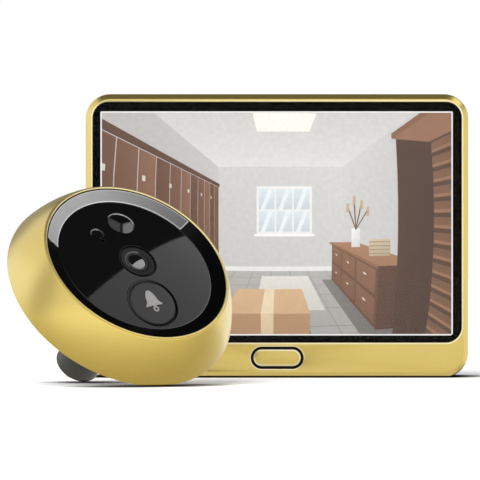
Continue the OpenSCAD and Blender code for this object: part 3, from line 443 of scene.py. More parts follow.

# Camera unit's gold ring: a domed side, a fine groove, and a narrow lip whose edge is a paler gold ring, a
# painted highlight
FINE_TURNS = 256
DOME_STEPS, BULGE = 40, 0.55
run = Vector((LIP_R - RIM_R, LIP_H))
side = Vector((run.y, -run.x)).normalized()
dome = []
for k in range(1, DOME_STEPS):
    t = k / DOME_STEPS
    dome.append(Vector((RIM_R, 0)) + run * t + side * (4 * BULGE * t * (1 - t)))
bezel = [(COVER_BORE, 0), (RIM_R - 0.25, 0), (RIM_R - 0.07, 0.06)]
bezel += [tuple(p) for p in dome if p.x < RIM_R - 0.05 or p.y > 0.3]
bezel += soften([(24.52, 11.48), (24.43, 11.45), (24.42, LIP_H, 0.3), (FACE_R, LIP_H, 0.3), (FACE_R, SEAT_Z),
                 (CAVITY_R, SEAT_Z), (CAVITY_R, COVER_T), (COVER_BORE, COVER_T)], 4, False)
camera_piece("camera_gold_ring", lathe(bezel, FINE_TURNS), "gold_metal", replaces=("camera_bezel",), sharp=50)
lip_trim = [(24.05, 11.712), (23.93, 11.672), (23.86, 11.6), (23.9, 11.55), (24.05, 11.63)]
camera_piece("lip_edge", lathe(lip_trim, FINE_TURNS), "gold_metal", material=MATERIALS["gold_edge_highlight"])

# Light bar on the sloped black ring, with a painted reflection along it and painted highlights on its edges
SLOPE = (RING_TOP - PLATE_Z) / (RING_R - PLATE_R)
BAR_IN, BAR_OUT, BAR_MIDDLE = 20.45, 23.5, 21.95
BAR_RISE, BAR_DEEP = 0.03, 0.9
BAR_START, BAR_END, BAR_SLANT, BAR_STEPS = 34, 162, 1.2, 128


def slope_z(radius):
    """Height of the sloped black ring."""
    return PLATE_Z + SLOPE * (radius - PLATE_R)


def bar_point(radius, height, step):
    """Point of the light bar. Its far end is slanted, by degrees for each millimetre of radius."""
    end = BAR_END + BAR_SLANT * (BAR_MIDDLE - radius)
    turn = math.radians(BAR_START + (end - BAR_START) * step / BAR_STEPS)
    return (*polar((0, 0), radius, turn), height)


bar_corners = [(BAR_IN, -BAR_DEEP), (BAR_OUT, -BAR_DEEP), (BAR_OUT, BAR_RISE, 0.1)]
bar_corners += [(BAR_OUT - 0.22, BAR_RISE), (BAR_IN + 0.35, BAR_RISE), (BAR_IN, BAR_RISE, 0.05)]
bar_section = [(r, slope_z(r) + rise) for r, rise in soften(bar_corners, 4)]


def bar_painted_sheen(step, spot):
    """Grey of a point of the light bar, a painted reflection: paler at the left, with painted highlights on
    its edges.
    """
    radius = bar_section[spot][0]
    share = step / BAR_STEPS
    if radius < BAR_IN + 0.3:
        return 185 + 70 * min(share / 0.5, 1)
    if step in (0, BAR_STEPS) or radius > BAR_OUT - 0.2:
        return 208
    return 92 + 88 * min(share / 0.6, 1) - 8 * max(share - 0.75, 0) / 0.25


# Greys of the light bar: a painted reflection, with painted highlights on the edges and ends
bar_sheen_greys = [bar_painted_sheen(k, i) for k in range(BAR_STEPS + 1) for i in range(len(bar_section))]
bar_rings = [[bar_point(*spot, k) for spot in bar_section] for k in range(BAR_STEPS + 1)]
camera_piece("light_bar_strip", loft(bar_rings, False), "light_diffuser", replaces=("light_bar",),
             material=tinted("light_bar", 0.25), greys=bar_sheen_greys)

# Domed face: heights on it, and turned pieces that follow it
FACE_BALL = (PLATE_R ** 2 + PLATE_RISE ** 2) / (2 * PLATE_RISE)
FACE_TOP = PLATE_Z + PLATE_RISE


def face_z(x, y=0.0):
    """Height of the domed face at a place on it."""
    return FACE_TOP - FACE_BALL + math.sqrt(FACE_BALL ** 2 - x * x - y * y)


def face_lathe(low, high, centre, segments=96, closed=False):
    """Turned piece in the face. Low is of (radius, height) points, high of (radius, height over the face)."""
    verts, faces = lathe(low + high, segments, centre, closed)
    start = sum(1 if radius < 1e-6 else segments for radius, _ in low)
    return verts[:start] + [(x, y, z + face_z(x, y)) for x, y, z in verts[start:]], faces


def drill(x, y, radius, ease=0.06):
    """Cutter for a round hole through the face plate, with an eased edge."""
    foot = PLATE_BACK - 0.77
    high = [(radius, -ease), (radius + 2 * ease, ease), (0, ease)]
    return (*face_lathe([(0, foot), (radius, foot)], high, (x, y)), CAMERA_PLACE)


# Face plate with an eased edge and its holes
LAND_R, LENS_RING_R = 4.4, 4.95
COLLAR_IN, COLLAR_OUT, COLLAR_FLANGE_R = 6.3, 6.75, 7
PLATE_EDGE, PLATE_EASE, PLATE_STEP = PLATE_R - FIT, 0.16, 0.7
EASED_R = 19.8
plate = soften([(0, PLATE_BACK), (PLATE_EDGE, PLATE_BACK), (PLATE_EDGE, face_z(PLATE_EDGE), PLATE_EASE),
                (EASED_R, face_z(EASED_R))], 4, False)
plate += [(PLATE_STEP * k, face_z(PLATE_STEP * k)) for k in range(28, -1, -1)]
face = camera_piece("face_disc", lathe(plate, FINE_TURNS, closed=False), "face_plastic",
                    replaces=("face_plate",))
cut(face, [
    drill(0, 0, LENS_RING_R + FIT),
    drill(0, BELL_Y, COLLAR_OUT + FIT),
    drill(0, PIR_Y, PIR_R + FIT),
    drill(WINDOW_X, WINDOW_Y, WINDOW_R + FIT),
    drill(MIC_X, MIC_Y, MIC_R),
])

# Ring around the lens, set in a groove, with a shallow funnel that has a painted highlight at its upper left
LENS_BORE, FUNNEL_R, FUNNEL_Z = 2.96, 3.5, 11.57
LENS_FLANGE_R, LENS_FLANGE_Z = LENS_RING_R + 0.3, PLATE_BACK - 0.3
LENS_GROOVE_Z, LAND_Z = face_z(LENS_RING_R) - 0.5, face_z(LAND_R)
RING_TURNS, HIGHLIGHT_SIDE = 128, math.radians(140)
lens_ring = soften([(LENS_BORE, LENS_FLANGE_Z), (LENS_FLANGE_R, LENS_FLANGE_Z), (LENS_FLANGE_R, PLATE_BACK),
                    (LENS_RING_R, PLATE_BACK), (LENS_RING_R, LENS_GROOVE_Z), (LAND_R, LENS_GROOVE_Z),
                    (LAND_R, LAND_Z, 0.15), (FUNNEL_R, LAND_Z - 0.06, 0.1), (LENS_BORE, FUNNEL_Z)], 4)
# Funnel greys: a painted highlight at the upper left, dark elsewhere
ring_highlight_greys = []
for radius, height in lens_ring:
    in_funnel = radius < 3.2 and height > 11
    for turn in around(RING_TURNS):
        ring_highlight_greys.append(120 if in_funnel and math.cos(turn - HIGHLIGHT_SIDE) > 0.3 else 36)
camera_piece("lens_bezel", lathe(lens_ring, RING_TURNS), "face_plastic", replaces=("lens_ring",),
             material=tinted("lens_bezel", 0.35, 0.1), greys=ring_highlight_greys)

# Lens
LENS_R, LENS_EDGE, LENS_T, LENS_RISE, LENS_STEPS = 2.3, 11.47, 0.5, 0.35, 12
lens = [(0, LENS_EDGE - LENS_T), (LENS_R, LENS_EDGE - LENS_T)]
for k in range(LENS_STEPS):
    turn = math.pi / 2 * k / LENS_STEPS
    lens.append((LENS_R * math.cos(turn), LENS_EDGE + LENS_RISE * math.sin(turn)))
lens.append((0, LENS_EDGE + LENS_RISE))
camera_piece("lens_dome", lathe(lens, 96, closed=False), "lens_glass", replaces=("front_lens",), sharp=60)

# Bell button with an eased edge, and its stem and flange behind the face plate
STEM_R, STEM_Z = 1.5, 7.2
BELL_FLANGE_R, BELL_FLANGE_Z, BELL_FLANGE_TOP = 6.75, 7.42, 8.07
bell_low = [(0, STEM_Z), (STEM_R, STEM_Z), (STEM_R, BELL_FLANGE_Z), (BELL_FLANGE_R, BELL_FLANGE_Z),
            (BELL_FLANGE_R, BELL_FLANGE_TOP), (BELL_R, BELL_FLANGE_TOP)]
bell_high = soften([(BELL_R, -1.2), (BELL_R, -0.08, 0.2), (5.9, 0, 0.2), (5.2, 0)], 5, False)
bell_high += [(r, 0) for r in (4.4, 3.6, 2.8, 2, 1.2, 0.5, 0)]
camera_piece("bell_button_cap", face_lathe(bell_low, bell_high, (0, BELL_Y), 160), "button_plastic",
             "bell_button", replaces=("bell_button",))

# Ring in the gap around the bell button, shaped and coloured as a painted shadow: level with the face and
# paler at the upper left, deep and black at the lower right
GROOVE_TURNS, GROOVE_DEEP, SHADOW_SIDE = 128, 0.55, math.radians(-45)
COLLAR_Z = PLATE_BACK - 0.6
GROOVE_BLACK, GROOVE_PAINTED_LIGHT = 4, 44
groove = [(COLLAR_IN, COLLAR_Z), (COLLAR_FLANGE_R, COLLAR_Z), (COLLAR_FLANGE_R, PLATE_BACK),
          (COLLAR_OUT, PLATE_BACK)]
groove_top = [(COLLAR_OUT, -0.03), (COLLAR_IN, -0.03)]
shadow_depths = [max(0.5 + 0.62 * math.cos(turn - SHADOW_SIDE), 0) for turn in around(GROOVE_TURNS)]
shadow_depths *= len(groove_top)
verts, faces = face_lathe(groove, groove_top, (0, BELL_Y), GROOVE_TURNS, True)
foot = len(groove) * GROOVE_TURNS
lowered = [(x, y, z - GROOVE_DEEP * min(depth, 1)) for (x, y, z), depth in zip(verts[foot:], shadow_depths)]
# Painted shade: black where the groove is deep, paler where it is level with the face
greys = [GROOVE_BLACK] * foot + [GROOVE_BLACK + GROOVE_PAINTED_LIGHT * max(1 - 3 * depth, 0) for depth in shadow_depths]
camera_piece("bell_groove_shadow", (verts[:foot] + lowered, faces), "black_gloss", replaces=("bell_collar",),
             material=tinted("bell_groove_shadow", 0.3, 0.1), greys=greys)


# Bell on the button: half an outline, mirrored, with a clapper below it

def smooth_line(points, steps=6):
    """Catmull-Rom curve through points."""
    line = []
    for i in range(len(points) - 1):
        a, b = Vector(points[max(i - 1, 0)]), Vector(points[i])
        c, d = Vector(points[i + 1]), Vector(points[min(i + 2, len(points) - 1)])
        for k in range(steps):
            t = k / steps
            squared, cubed = 2 * a - 5 * b + 4 * c - d, 3 * b - a - 3 * c + d
            line.append(0.5 * (2 * b + (c - a) * t + squared * t * t + cubed * t ** 3))
    return [tuple(p) for p in line] + [tuple(points[-1])]


def plate_from(outline, z0, z1, ease):
    """Flat plate of an outline, with its upper edge drawn in a little."""
    middle = Vector((sum(p[0] for p in outline) / len(outline), sum(p[1] for p in outline) / len(outline)))
    drawn_in = [tuple(Vector(p) + (middle - Vector(p)).normalized() * ease) for p in outline]
    low, high = [(*p, z0) for p in outline], [(*p, z1 - ease) for p in outline]
    return loft([low, high, [(*p, z1) for p in drawn_in]], False)


SYMBOL_H, SYMBOL_T, SYMBOL_TURN = 7.3, 0.2, Matrix.Rotation(math.radians(10), 2)
CLAPPER_IN, CLAPPER_OUT, BRIDGE = 0.36, 0.8, 0.26
bell_curve = [(0.05, 0.47), (0.12, 0.38), (0.185, 0.24), (0.215, 0.08), (0.255, -0.02), (0.335, -0.1)]
half_bell = smooth_line(bell_curve) + [(0.33, -0.14)]
whole_bell = half_bell + [(-x, y) for x, y in reversed(half_bell)]
bell_plate = plate_from([(x * SYMBOL_H, y * SYMBOL_H) for x, y in whole_bell], 0, SYMBOL_T, 0.06)
clapper = soften([(CLAPPER_IN, 0), (CLAPPER_OUT, 0), (CLAPPER_OUT, SYMBOL_T, 0.08),
                  (CLAPPER_IN, SYMBOL_T, 0.08)], 3)
bridge = box((-BRIDGE, -0.2 * SYMBOL_H, 0), (BRIDGE, -0.13 * SYMBOL_H, SYMBOL_T - 0.02))
verts, faces = [], []
for flat_verts, flat_faces in (bell_plate, lathe(clapper, 48, (0, -0.27 * SYMBOL_H)), bridge):
    faces += [tuple(i + len(verts) for i in corners) for corners in flat_faces]
    for x, y, z in flat_verts:
        x, y = SYMBOL_TURN @ Vector((x, y)) + Vector((0, BELL_Y))
        verts.append((x, y, face_z(x, y) + z))
camera_piece("bell_mark", (verts, faces), "symbol_print", "bell_button", replaces=("bell_symbol",))


# Motion sensor: three shallow lobes with grooves between them, each lobe grey with a painted reflection, in a
# countersunk edge with a painted highlight

EDGE_W, EDGE_DEEP, EDGE_FADE = 0.26, 0.3, 0.35
SEAM_W, SEAM_DEEP, DARK = 0.8, 0.08, 8


def lobed_dome(centre, radius, crown, tilt, lobes, foot_z):
    """Dome of a polar grid, cut flat by tilted planes. Lobes are (direction in degrees, grey of the lobe's
    painted reflection).
    """
    turns, rows = 96, 16
    verts, greys = [], []
    for i in range(rows + 1):
        r = radius * i / rows
        for turn in around(turns):
            planes = sorted((-math.cos(turn - math.radians(way)), grey) for way, grey in lobes)
            seam = max(1 - r * (planes[1][0] - planes[0][0]) / SEAM_W, 0)
            x, y = polar(centre, r, turn)
            verts.append((x, y, face_z(x, y) + crown + tilt * r * planes[0][0] - SEAM_DEEP * seam))
            greys.append(planes[0][1] + (DARK - planes[0][1]) * seam)
    verts += [(*polar(centre, radius, turn), foot_z) for turn in around(turns)]
    greys += [DARK] * turns
    faces = []
    for i in range(rows + 1):
        for k in range(turns):
            n = (k + 1) % turns
            faces.append((i * turns + k, (i + 1) * turns + k, (i + 1) * turns + n, i * turns + n))
    faces.append(tuple(range((rows + 1) * turns, (rows + 2) * turns)))
    return verts, faces, greys


def sunk_edge_with_highlight(name, centre, radius, depth, highlight_grey, towards, spread):
    """Countersunk edge of a round piece of the face, with a painted highlight towards a direction in degrees.
    """
    low = -depth - EDGE_DEEP
    section = [(radius, -0.01), (radius - EDGE_W, -depth), (radius - EDGE_W, low), (radius, low)]
    turns = 96
    facing = [math.cos(turn - math.radians(towards)) for turn in around(turns)]
    highlight_shares = [min(max((part - spread) / EDGE_FADE, 0), 1) for part in facing]
    camera_piece(name, face_lathe([], section, centre, turns, True), "sensor_lens",
                 material=tinted(name, 0.3), greys=[DARK + (highlight_grey - DARK) * share for share in highlight_shares] * 4)


PIR_CROWN, PIR_TILT, PIR_FOOT = 0.2, 0.12, 8.22
# Greys of the lobes are painted reflections
PIR_LOBE_SHEENS = ((84, 10), (183, 64), (315, 74))
verts, faces, greys = lobed_dome((0, PIR_Y), PIR_R - EDGE_W, PIR_CROWN, PIR_TILT, PIR_LOBE_SHEENS, PIR_FOOT)
camera_piece("motion_dome", (verts, faces), "sensor_lens", replaces=("pir_lens",), sharp=20,
             material=tinted("motion_dome", 0.1), greys=greys)
sunk_edge_with_highlight("motion_edge_highlight", (0, PIR_Y), PIR_R + 0.04, 0.3, 165, 70, 0.1)

# Light sensor's window with its edge, and the thin line at the face plate's edge; both edges are tinted with
# a painted highlight
WINDOW_FLANGE_R, WINDOW_FLANGE_Z = 2, PLATE_BACK - 0.5
window_low = [(0, WINDOW_FLANGE_Z), (WINDOW_FLANGE_R, WINDOW_FLANGE_Z), (WINDOW_FLANGE_R, PLATE_BACK),
              (WINDOW_R - EDGE_W, PLATE_BACK)]
window_high = [(WINDOW_R - EDGE_W, -0.24), (1.1, -0.2), (0.5, -0.17), (0, -0.16)]
camera_piece("light_sensor_window", face_lathe(window_low, window_high, (WINDOW_X, WINDOW_Y), 64),
             "face_plastic", replaces=("light_window",), sharp=50)
sunk_edge_with_highlight("window_edge_highlight", (WINDOW_X, WINDOW_Y), WINDOW_R + 0.04, 0.24, 130, 125, 0.2)
# The face plate's edge line is a painted highlight
sunk_edge_with_highlight("plate_edge_highlight", (0, 0), PLATE_EDGE, -0.015, 75, -26, 0.45)

# Barrel with an eased end
NECK_R, BARREL_FLANGE_R, BARREL_FLANGE_Z = 6.25, 7.95, 2.8
barrel = soften([(BARREL_BORE, -BARREL_LEN), (BARREL_R - 0.25, -BARREL_LEN, 0.1),
                 (BARREL_R, 0.2 - BARREL_LEN, 0.1), (BARREL_R, 0), (NECK_R, 0), (NECK_R, COVER_T),
                 (BARREL_FLANGE_R, COVER_T), (BARREL_FLANGE_R, BARREL_FLANGE_Z),
                 (BARREL_BORE, BARREL_FLANGE_Z)], 4)
camera_piece("barrel_tube", lathe(barrel, 128), "barrel_metal", replaces=("barrel",))

# Soft pieces that meet the door
GASKET_IN, GASKET_OUT, GASKET_T, GASKET_EASE = 8.95, 27.0, 0.8, 0.35
gasket_section = soften([(GASKET_IN, 0), (GASKET_IN, -GASKET_T, GASKET_EASE),
                         (GASKET_OUT, -GASKET_T, GASKET_EASE), (GASKET_OUT, 0)], 4)
gasket = camera_piece("gasket_ring", lathe(gasket_section, 160), "foam", replaces=("door_gasket",))
PAD_X, PAD_Z, PAD_W, PAD_H, PAD_R = 18.5, 40, 10, 34, 1.5
PAD_FRONT, PAD_BACK = 10.5, 11.0
pad_section = soften([(0, PAD_FRONT), (0, PAD_BACK, 0.25), (4.9, PAD_BACK)], 4, False)
pad_verts, pad_faces = loft(outline_rings(PAD_W, PAD_H, PAD_R, PAD_Z, pad_section), False)
for hand, shift in (("left", -PAD_X), ("right", PAD_X)):
    verts = [(x + shift, y, z) for x, y, z in pad_verts]
    pad = add_piece("bracket_pad_" + hand, verts, pad_faces, "foam", "bracket")
    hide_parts("bracket_pads")


# Cover glass, and the black print behind its edge

def make_clear_glass():
    mat, tree, shader = shader_tree("clear_glass")
    shader.inputs["Base Color"].default_value = (1, 1, 1, 1)
    shader.inputs["Transmission Weight"].default_value = 1.0
    shader.inputs["IOR"].default_value = 1.1
    tree.links.new(remap(tree, noise(tree, 12), 0.0, 0.012), shader.inputs["Roughness"])
    return mat


PRINT_SET, PRINT_GAP_R, PRINT_T = 0.1, 0.4, 0.01
pane_section = soften([(0, GLASS_BACK_Y - 0.02), (0, GLASS_Y, 0.14), (2, GLASS_Y)], 4, False)
pane = outline_rings(OPEN_W - 2 * FIT, OPEN_H - 2 * FIT, OPEN_R - FIT, OPEN_Z, pane_section)
add_piece("cover_pane", *loft(pane, False), "cover_glass", "monitor", replaces=("cover_glass",),
          material=make_clear_glass())
print_rings = []
for depth, back in ((GLASS_BACK_Y - PRINT_T, False), (GLASS_BACK_Y + PRINT_T, True)):
    edge = rect_ring(OPEN_W - 2 * PRINT_SET, OPEN_H - 2 * PRINT_SET, OPEN_R - PRINT_SET, depth, OPEN_Z)
    gap = [(x + LIT_X, y, z) for x, y, z in rect_ring(LIT_W, LIT_H, PRINT_GAP_R, depth, LIT_Z)]
    print_rings += [gap, edge] if back else [edge, gap]
add_piece("glass_print", *loft(print_rings), "cover_glass", "monitor")

# The picture is a view of an empty entrance hall: points of the room, in metres, are set flat on the display
VIEW_F, VIEW_Z, VIEW_RAISE, BARREL_BEND = 44.0, 1.45, 2, 0.1
EVEN = (1, 1, 1, 1)
picture_faces = []


def on_screen(x, y, z):
    """Place on the display of a point of the room: x to the right, y away from the door and z up."""
    a, b = VIEW_F * x / y, VIEW_F * (z - VIEW_Z) / y
    far = min((a * a + b * b) / 2500, 1.6)
    bend = 1 - BARREL_BEND * far
    return LIT_X + a * bend, LIT_Z + VIEW_RAISE + b * bend


def paint(corners, colour, shades=EVEN, cells=10):
    """Adds a four-cornered area of the room. Each corner has its own shade of the colour."""
    base = linear(*colour)[:3]
    grid = []
    for i in range(cells + 1):
        for j in range(cells + 1):
            u, v = i / cells, j / cells
            weights = ((1 - u) * (1 - v), u * (1 - v), u * v, (1 - u) * v)
            point = [sum(w * c[axis] for w, c in zip(weights, corners)) for axis in range(3)]
            shade = sum(w * s for w, s in zip(weights, shades))
            grid.append((on_screen(*point), tuple(min(b * shade, 1.0) for b in base)))
    picture_faces.append((cells, grid))


def wall_x(x, y0, y1, z0, z1, colour, shades=EVEN, cells=10):
    paint(across_x(x, y0, y1, z0, z1), colour, shades, cells)


def wall_y(y, x0, x1, z0, z1, colour, shades=EVEN, cells=6):
    paint(across_y(y, x0, x1, z0, z1), colour, shades, cells)


def level(z, x0, x1, y0, y1, colour, shades=EVEN, cells=10):
    paint(across_z(z, x0, x1, y0, y1), colour, shades, cells)


NEAR, FAR, LEFT, RIGHT, TOP = 0.5, 4.4, -1.55, 1.75, 2.75
level(TOP, LEFT, RIGHT, NEAR, FAR, (222, 220, 217), (0.8, 0.8, 1.05, 1.05))
level(0, LEFT, RIGHT, NEAR, FAR, (176, 173, 169), (0.75, 0.75, 1.1, 1.1))
wall_x(LEFT, NEAR, FAR, 0, TOP, (196, 193, 190), (0.8, 1.0, 1.08, 0.9))
wall_x(RIGHT, NEAR, FAR, 0, TOP, (206, 204, 202), (0.85, 1.0, 1.1, 0.95))
wall_y(FAR, LEFT, RIGHT, 0, TOP, (208, 206, 203), (0.92, 0.98, 1.1, 1.02))

# Tile joints, and the light that falls through the window
for k in range(1, 9):
    joint_y = 0.45 * k + 0.3
    level(0, LEFT, RIGHT, joint_y, joint_y + 0.018, (140, 137, 133), cells=4)
for k in range(1, 8):
    joint_x = LEFT + 0.47 * k
    level(0, joint_x - 0.008, joint_x + 0.008, NEAR, FAR, (146, 143, 139), cells=6)
level(0, -0.35, 0.75, 2.5, 4.0, (226, 222, 214), (0.82, 0.82, 1.0, 1.0), 6)

# Timber boards on the left wall, up to a rail, pale pegs on them, and the skirting boards
BOARD_TONES = ((118, 82, 62), (132, 94, 72), (106, 72, 53))
for k in range(13):
    y0 = 0.55 + 0.296 * k
    wall_x(LEFT + 0.02, y0, y0 + 0.284, 0.1, 2.2, BOARD_TONES[k % 3], (0.72, 0.86, 1.12, 0.95), 6)
wall_x(LEFT + 0.04, NEAR, FAR, 2.2, 2.29, (92, 62, 46), (0.9, 1, 1.2, 1.1))
for k in range(6):
    wall_x(LEFT + 0.06, 1.25 + 0.5 * k, 1.3 + 0.5 * k, 1.84, 1.9, (214, 206, 194), cells=2)
wall_x(LEFT + 0.05, NEAR, FAR, 0, 0.1, (226, 224, 220), (0.75, 0.95, 1, 0.85), 6)
wall_x(RIGHT - 0.03, NEAR, FAR, 0, 0.12, (232, 230, 227), (0.75, 0.95, 1, 0.85), 6)
wall_y(FAR - 0.03, LEFT, RIGHT, 0, 0.12, (232, 230, 227))

# Window in the far wall: six panes with a slanted glint on each, and a sill
wall_y(FAR - 0.04, -0.52, 0.92, 0.98, 2.22, (240, 239, 236))
GLINT_Y, PANE_W, PANE_H = FAR - 0.06, 0.41, 0.53
for row in range(2):
    for column in range(3):
        x0, z0 = -0.46 + 0.455 * column, 1.04 + 0.575 * row
        wall_y(FAR - 0.05, x0, x0 + PANE_W, z0, z0 + PANE_H, (214, 224, 229), (0.86, 0.9, 1.12, 1.06))
        glint = ((x0 + 0.05, GLINT_Y, z0), (x0 + 0.16, GLINT_Y, z0),
                 (x0 + 0.36, GLINT_Y, z0 + PANE_H), (x0 + 0.25, GLINT_Y, z0 + PANE_H))
        paint(glint, (236, 241, 243), cells=2)
wall_y(FAR - 0.07, -0.58, 0.98, 0.92, 0.98, (250, 249, 246))

# Ceiling lamp
level(TOP - 0.02, -0.3, 0.5, 1.9, 2.5, (252, 248, 238), cells=4)
wall_y(1.9, -0.3, 0.5, TOP - 0.1, TOP - 0.02, (205, 202, 196), cells=3)

# Chest of drawers along the right wall
level(0.002, 1.02, RIGHT, 1.75, 3.75, (120, 116, 112), (0.9, 0.8, 0.8, 1.2), 6)
wall_x(1.2, 1.9, 3.6, 0.06, 0.86, (110, 76, 56), (0.8, 0.95, 1.1, 0.95))
for k in range(3):
    y0 = 1.95 + 0.55 * k
    wall_x(1.195, y0, y0 + 0.5, 0.12, 0.44, (128, 90, 67), (0.85, 0.9, 1.05, 1.0), 4)
    wall_x(1.195, y0, y0 + 0.5, 0.49, 0.8, (134, 95, 71), (0.9, 0.95, 1.1, 1.05), 4)
    for z0 in (0.3, 0.66):
        wall_x(1.19, y0 + 0.21, y0 + 0.29, z0, z0 + 0.025, (220, 214, 204), cells=2)
wall_y(1.9, 1.2, RIGHT, 0.06, 0.86, (92, 62, 46), (0.8, 0.7, 0.9, 1.0))
level(0.87, 1.16, RIGHT, 1.86, 3.64, (168, 124, 94), (0.9, 0.95, 1.05, 1.0))
wall_x(1.16, 1.86, 3.64, 0.84, 0.88, (142, 100, 74), cells=4)

# Basket and a vase with dry stalks on the chest
wall_y(2.3, 1.3, 1.62, 0.88, 1.12, (206, 188, 160), (0.8, 0.7, 0.95, 1.05), 4)
for k in range(4):
    wall_y(2.295, 1.3, 1.62, 0.91 + 0.055 * k, 0.925 + 0.055 * k, (164, 142, 112), cells=2)
VASE_Y = 3.0
wall_y(VASE_Y, 1.36, 1.52, 0.88, 1.22, (244, 242, 239), (0.8, 0.72, 0.9, 1.02), 4)
for lean, high in ((-0.16, 1.62), (-0.04, 1.76), (0.1, 1.68), (0.22, 1.56)):
    stalk = ((1.43, VASE_Y, 1.2), (1.45, VASE_Y, 1.2),
             (1.46 + lean, VASE_Y, high), (1.43 + lean, VASE_Y, high))
    tuft = ((1.42 + lean, VASE_Y, high - 0.12), (1.48 + lean, VASE_Y, high - 0.1),
            (1.47 + lean, VASE_Y, high + 0.06), (1.43 + lean, VASE_Y, high + 0.05))
    paint(stalk, (120, 96, 70), cells=3)
    paint(tuft, (196, 172, 136), cells=3)

# Tall slatted cupboard at the right
level(0.003, 1.0, RIGHT, 0.9, 1.9, (112, 108, 104), (0.9, 0.8, 0.8, 1.25), 6)
wall_x(1.3, 0.95, 1.72, 0.05, 2.3, (98, 66, 49), (0.7, 0.9, 1.1, 0.85))
for y0, handle in ((0.99, 0.31), (1.355, 0.012)):
    wall_x(1.295, y0, y0 + 0.33, 0.12, 2.22, (124, 87, 65), (0.75, 0.9, 1.12, 0.9), 8)
    slat_y0, slat_y1 = y0 + 0.045, y0 + 0.285
    for i in range(16):
        z0 = 0.2 + 0.124 * i
        wall_x(1.29, slat_y0, slat_y1, z0, z0 + 0.035, (86, 57, 42), (0.8, 0.95, 1.15, 1.0), 3)
        wall_x(1.29, slat_y0, slat_y1, z0 + 0.035, z0 + 0.06, (152, 110, 84), (0.8, 0.95, 1.1, 0.95), 3)
    wall_x(1.285, y0 + handle, y0 + handle + 0.012, 1.0, 1.25, (226, 220, 210), cells=2)
wall_y(1.72, 1.3, RIGHT, 0.05, 2.3, (80, 53, 39), (0.9, 0.7, 0.8, 1.0))
level(2.3, 1.27, RIGHT, 0.95, 1.75, (150, 108, 82), cells=4)
wall_x(1.27, 0.95, 1.75, 2.3, 2.36, (134, 94, 70), cells=4)

# Door mat, and a taped parcel with a label on it
level(0.004, -0.72, 0.72, 1.12, 1.85, (104, 98, 92), (0.85, 0.85, 1.1, 1.1))
level(0.006, -0.66, 0.66, 1.18, 1.79, (122, 115, 108), (0.85, 0.85, 1.1, 1.1))
level(0.008, -0.6, 0.42, 1.5, 2.2, (70, 65, 61), (1.1, 1.2, 1.0, 0.9), 6)
wall_y(1.55, -0.5, 0.32, 0.01, 0.52, (176, 138, 102), (0.78, 0.84, 1.04, 1.0))
level(0.52, -0.5, 0.32, 1.55, 2.1, (206, 170, 132), (1, 1, 1.08, 1.08))
wall_y(1.548, -0.15, -0.03, 0.3, 0.52, (218, 196, 160), (0.9, 0.9, 1.02, 1.02), 3)
level(0.522, -0.15, -0.03, 1.548, 2.1, (232, 212, 178), cells=4)
wall_y(1.547, 0.02, 0.26, 0.1, 0.26, (236, 234, 230), (0.9, 0.92, 1, 1), 3)

# Pale outline of the lit area
LINE_W = 0.38
PALE = linear(236, 235, 233)[:3]
strips = (
    (LIT_LEFT, LIT_RIGHT, LIT_HIGH - LINE_W, LIT_HIGH),
    (LIT_LEFT, LIT_RIGHT, LIT_LOW, LIT_LOW + LINE_W),
    (LIT_LEFT, LIT_LEFT + LINE_W, LIT_LOW, LIT_HIGH),
    (LIT_RIGHT - LINE_W, LIT_RIGHT, LIT_LOW, LIT_HIGH),
)
for x0, x1, z0, z1 in strips:
    picture_faces.append((1, [((x, z), PALE) for x in (x0, x1) for z in (z0, z1)]))


def make_screen_light():
    """The display glows with the colours that are stored in the picture's points."""
    mat, tree, shader = shader_tree("screen_light")
    tree.links.new(stored_tint(tree, 1.2), shader.inputs["Emission Color"])
    shader.inputs["Emission Strength"].default_value = 1.0
    shader.inputs["Base Color"].default_value = (0.01, 0.01, 0.01, 1)
    shader.inputs["Roughness"].default_value = 0.5
    return mat


def make_picture(lift=0.03, step=0.004, margin=0.3):
    """Lays the painted areas over each other on the display, and trims them to the lit area."""
    bm = bmesh.new()
    tint = bm.verts.layers.float_color.new("tint")
    for order, (cells, grid) in enumerate(picture_faces):
        depth = PANEL_Y - lift - step * order
        row = cells + 1
        corners = []
        for (x, z), colour in grid:
            corner = bm.verts.new((x * MM, depth * MM, z * MM))
            corner[tint] = (*colour, 1.0)
            corners.append(corner)
        for i in range(cells):
            for j in range(cells):
                k = i * row + j
                bm.faces.new((corners[k], corners[k + row], corners[k + row + 1], corners[k + 1]))
    sides = (((LIT_LEFT - margin, 0, 0), (-1, 0, 0)), ((LIT_RIGHT + margin, 0, 0), (1, 0, 0)),
             ((0, 0, LIT_LOW - margin), (0, 0, -1)), ((0, 0, LIT_HIGH + margin), (0, 0, 1)))
    for place, outward in sides:
        bmesh.ops.bisect_plane(bm, geom=bm.verts[:] + bm.edges[:] + bm.faces[:], dist=1e-9,
                               plane_co=Vector(place) * MM, plane_no=outward, clear_outer=True)
    mesh = bpy.data.meshes.new("screen_picture")
    bm.to_mesh(mesh)
    bm.free()
    mesh.materials.append(make_screen_light())
    picture = place_object("screen_picture", mesh)
    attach(picture, "monitor")


make_picture()


# Camera, with its place in metres

EYE = (-0.0097, -1.201, 0.03586)
shot = bpy.data.cameras.new("camera")
shot.sensor_width = 36
shot.lens = 341.8
shot.clip_end = 20
eye = place_object("camera", shot)
eye.location = EYE
eye.rotation_euler = (math.pi / 2, 0, 0)
scene.camera = eye


# Studio, in metres

def empty_tree(name):
    mat, tree, _ = shader_tree(name)
    tree.nodes.clear()
    return mat, tree, tree.nodes.new("ShaderNodeOutputMaterial")


def flat_object(name, points, mat):
    mesh = bpy.data.meshes.new(name)
    mesh.from_pydata(points, [], [tuple(range(len(points)))])
    mesh.materials.append(mat)
    return place_object(name, mesh)


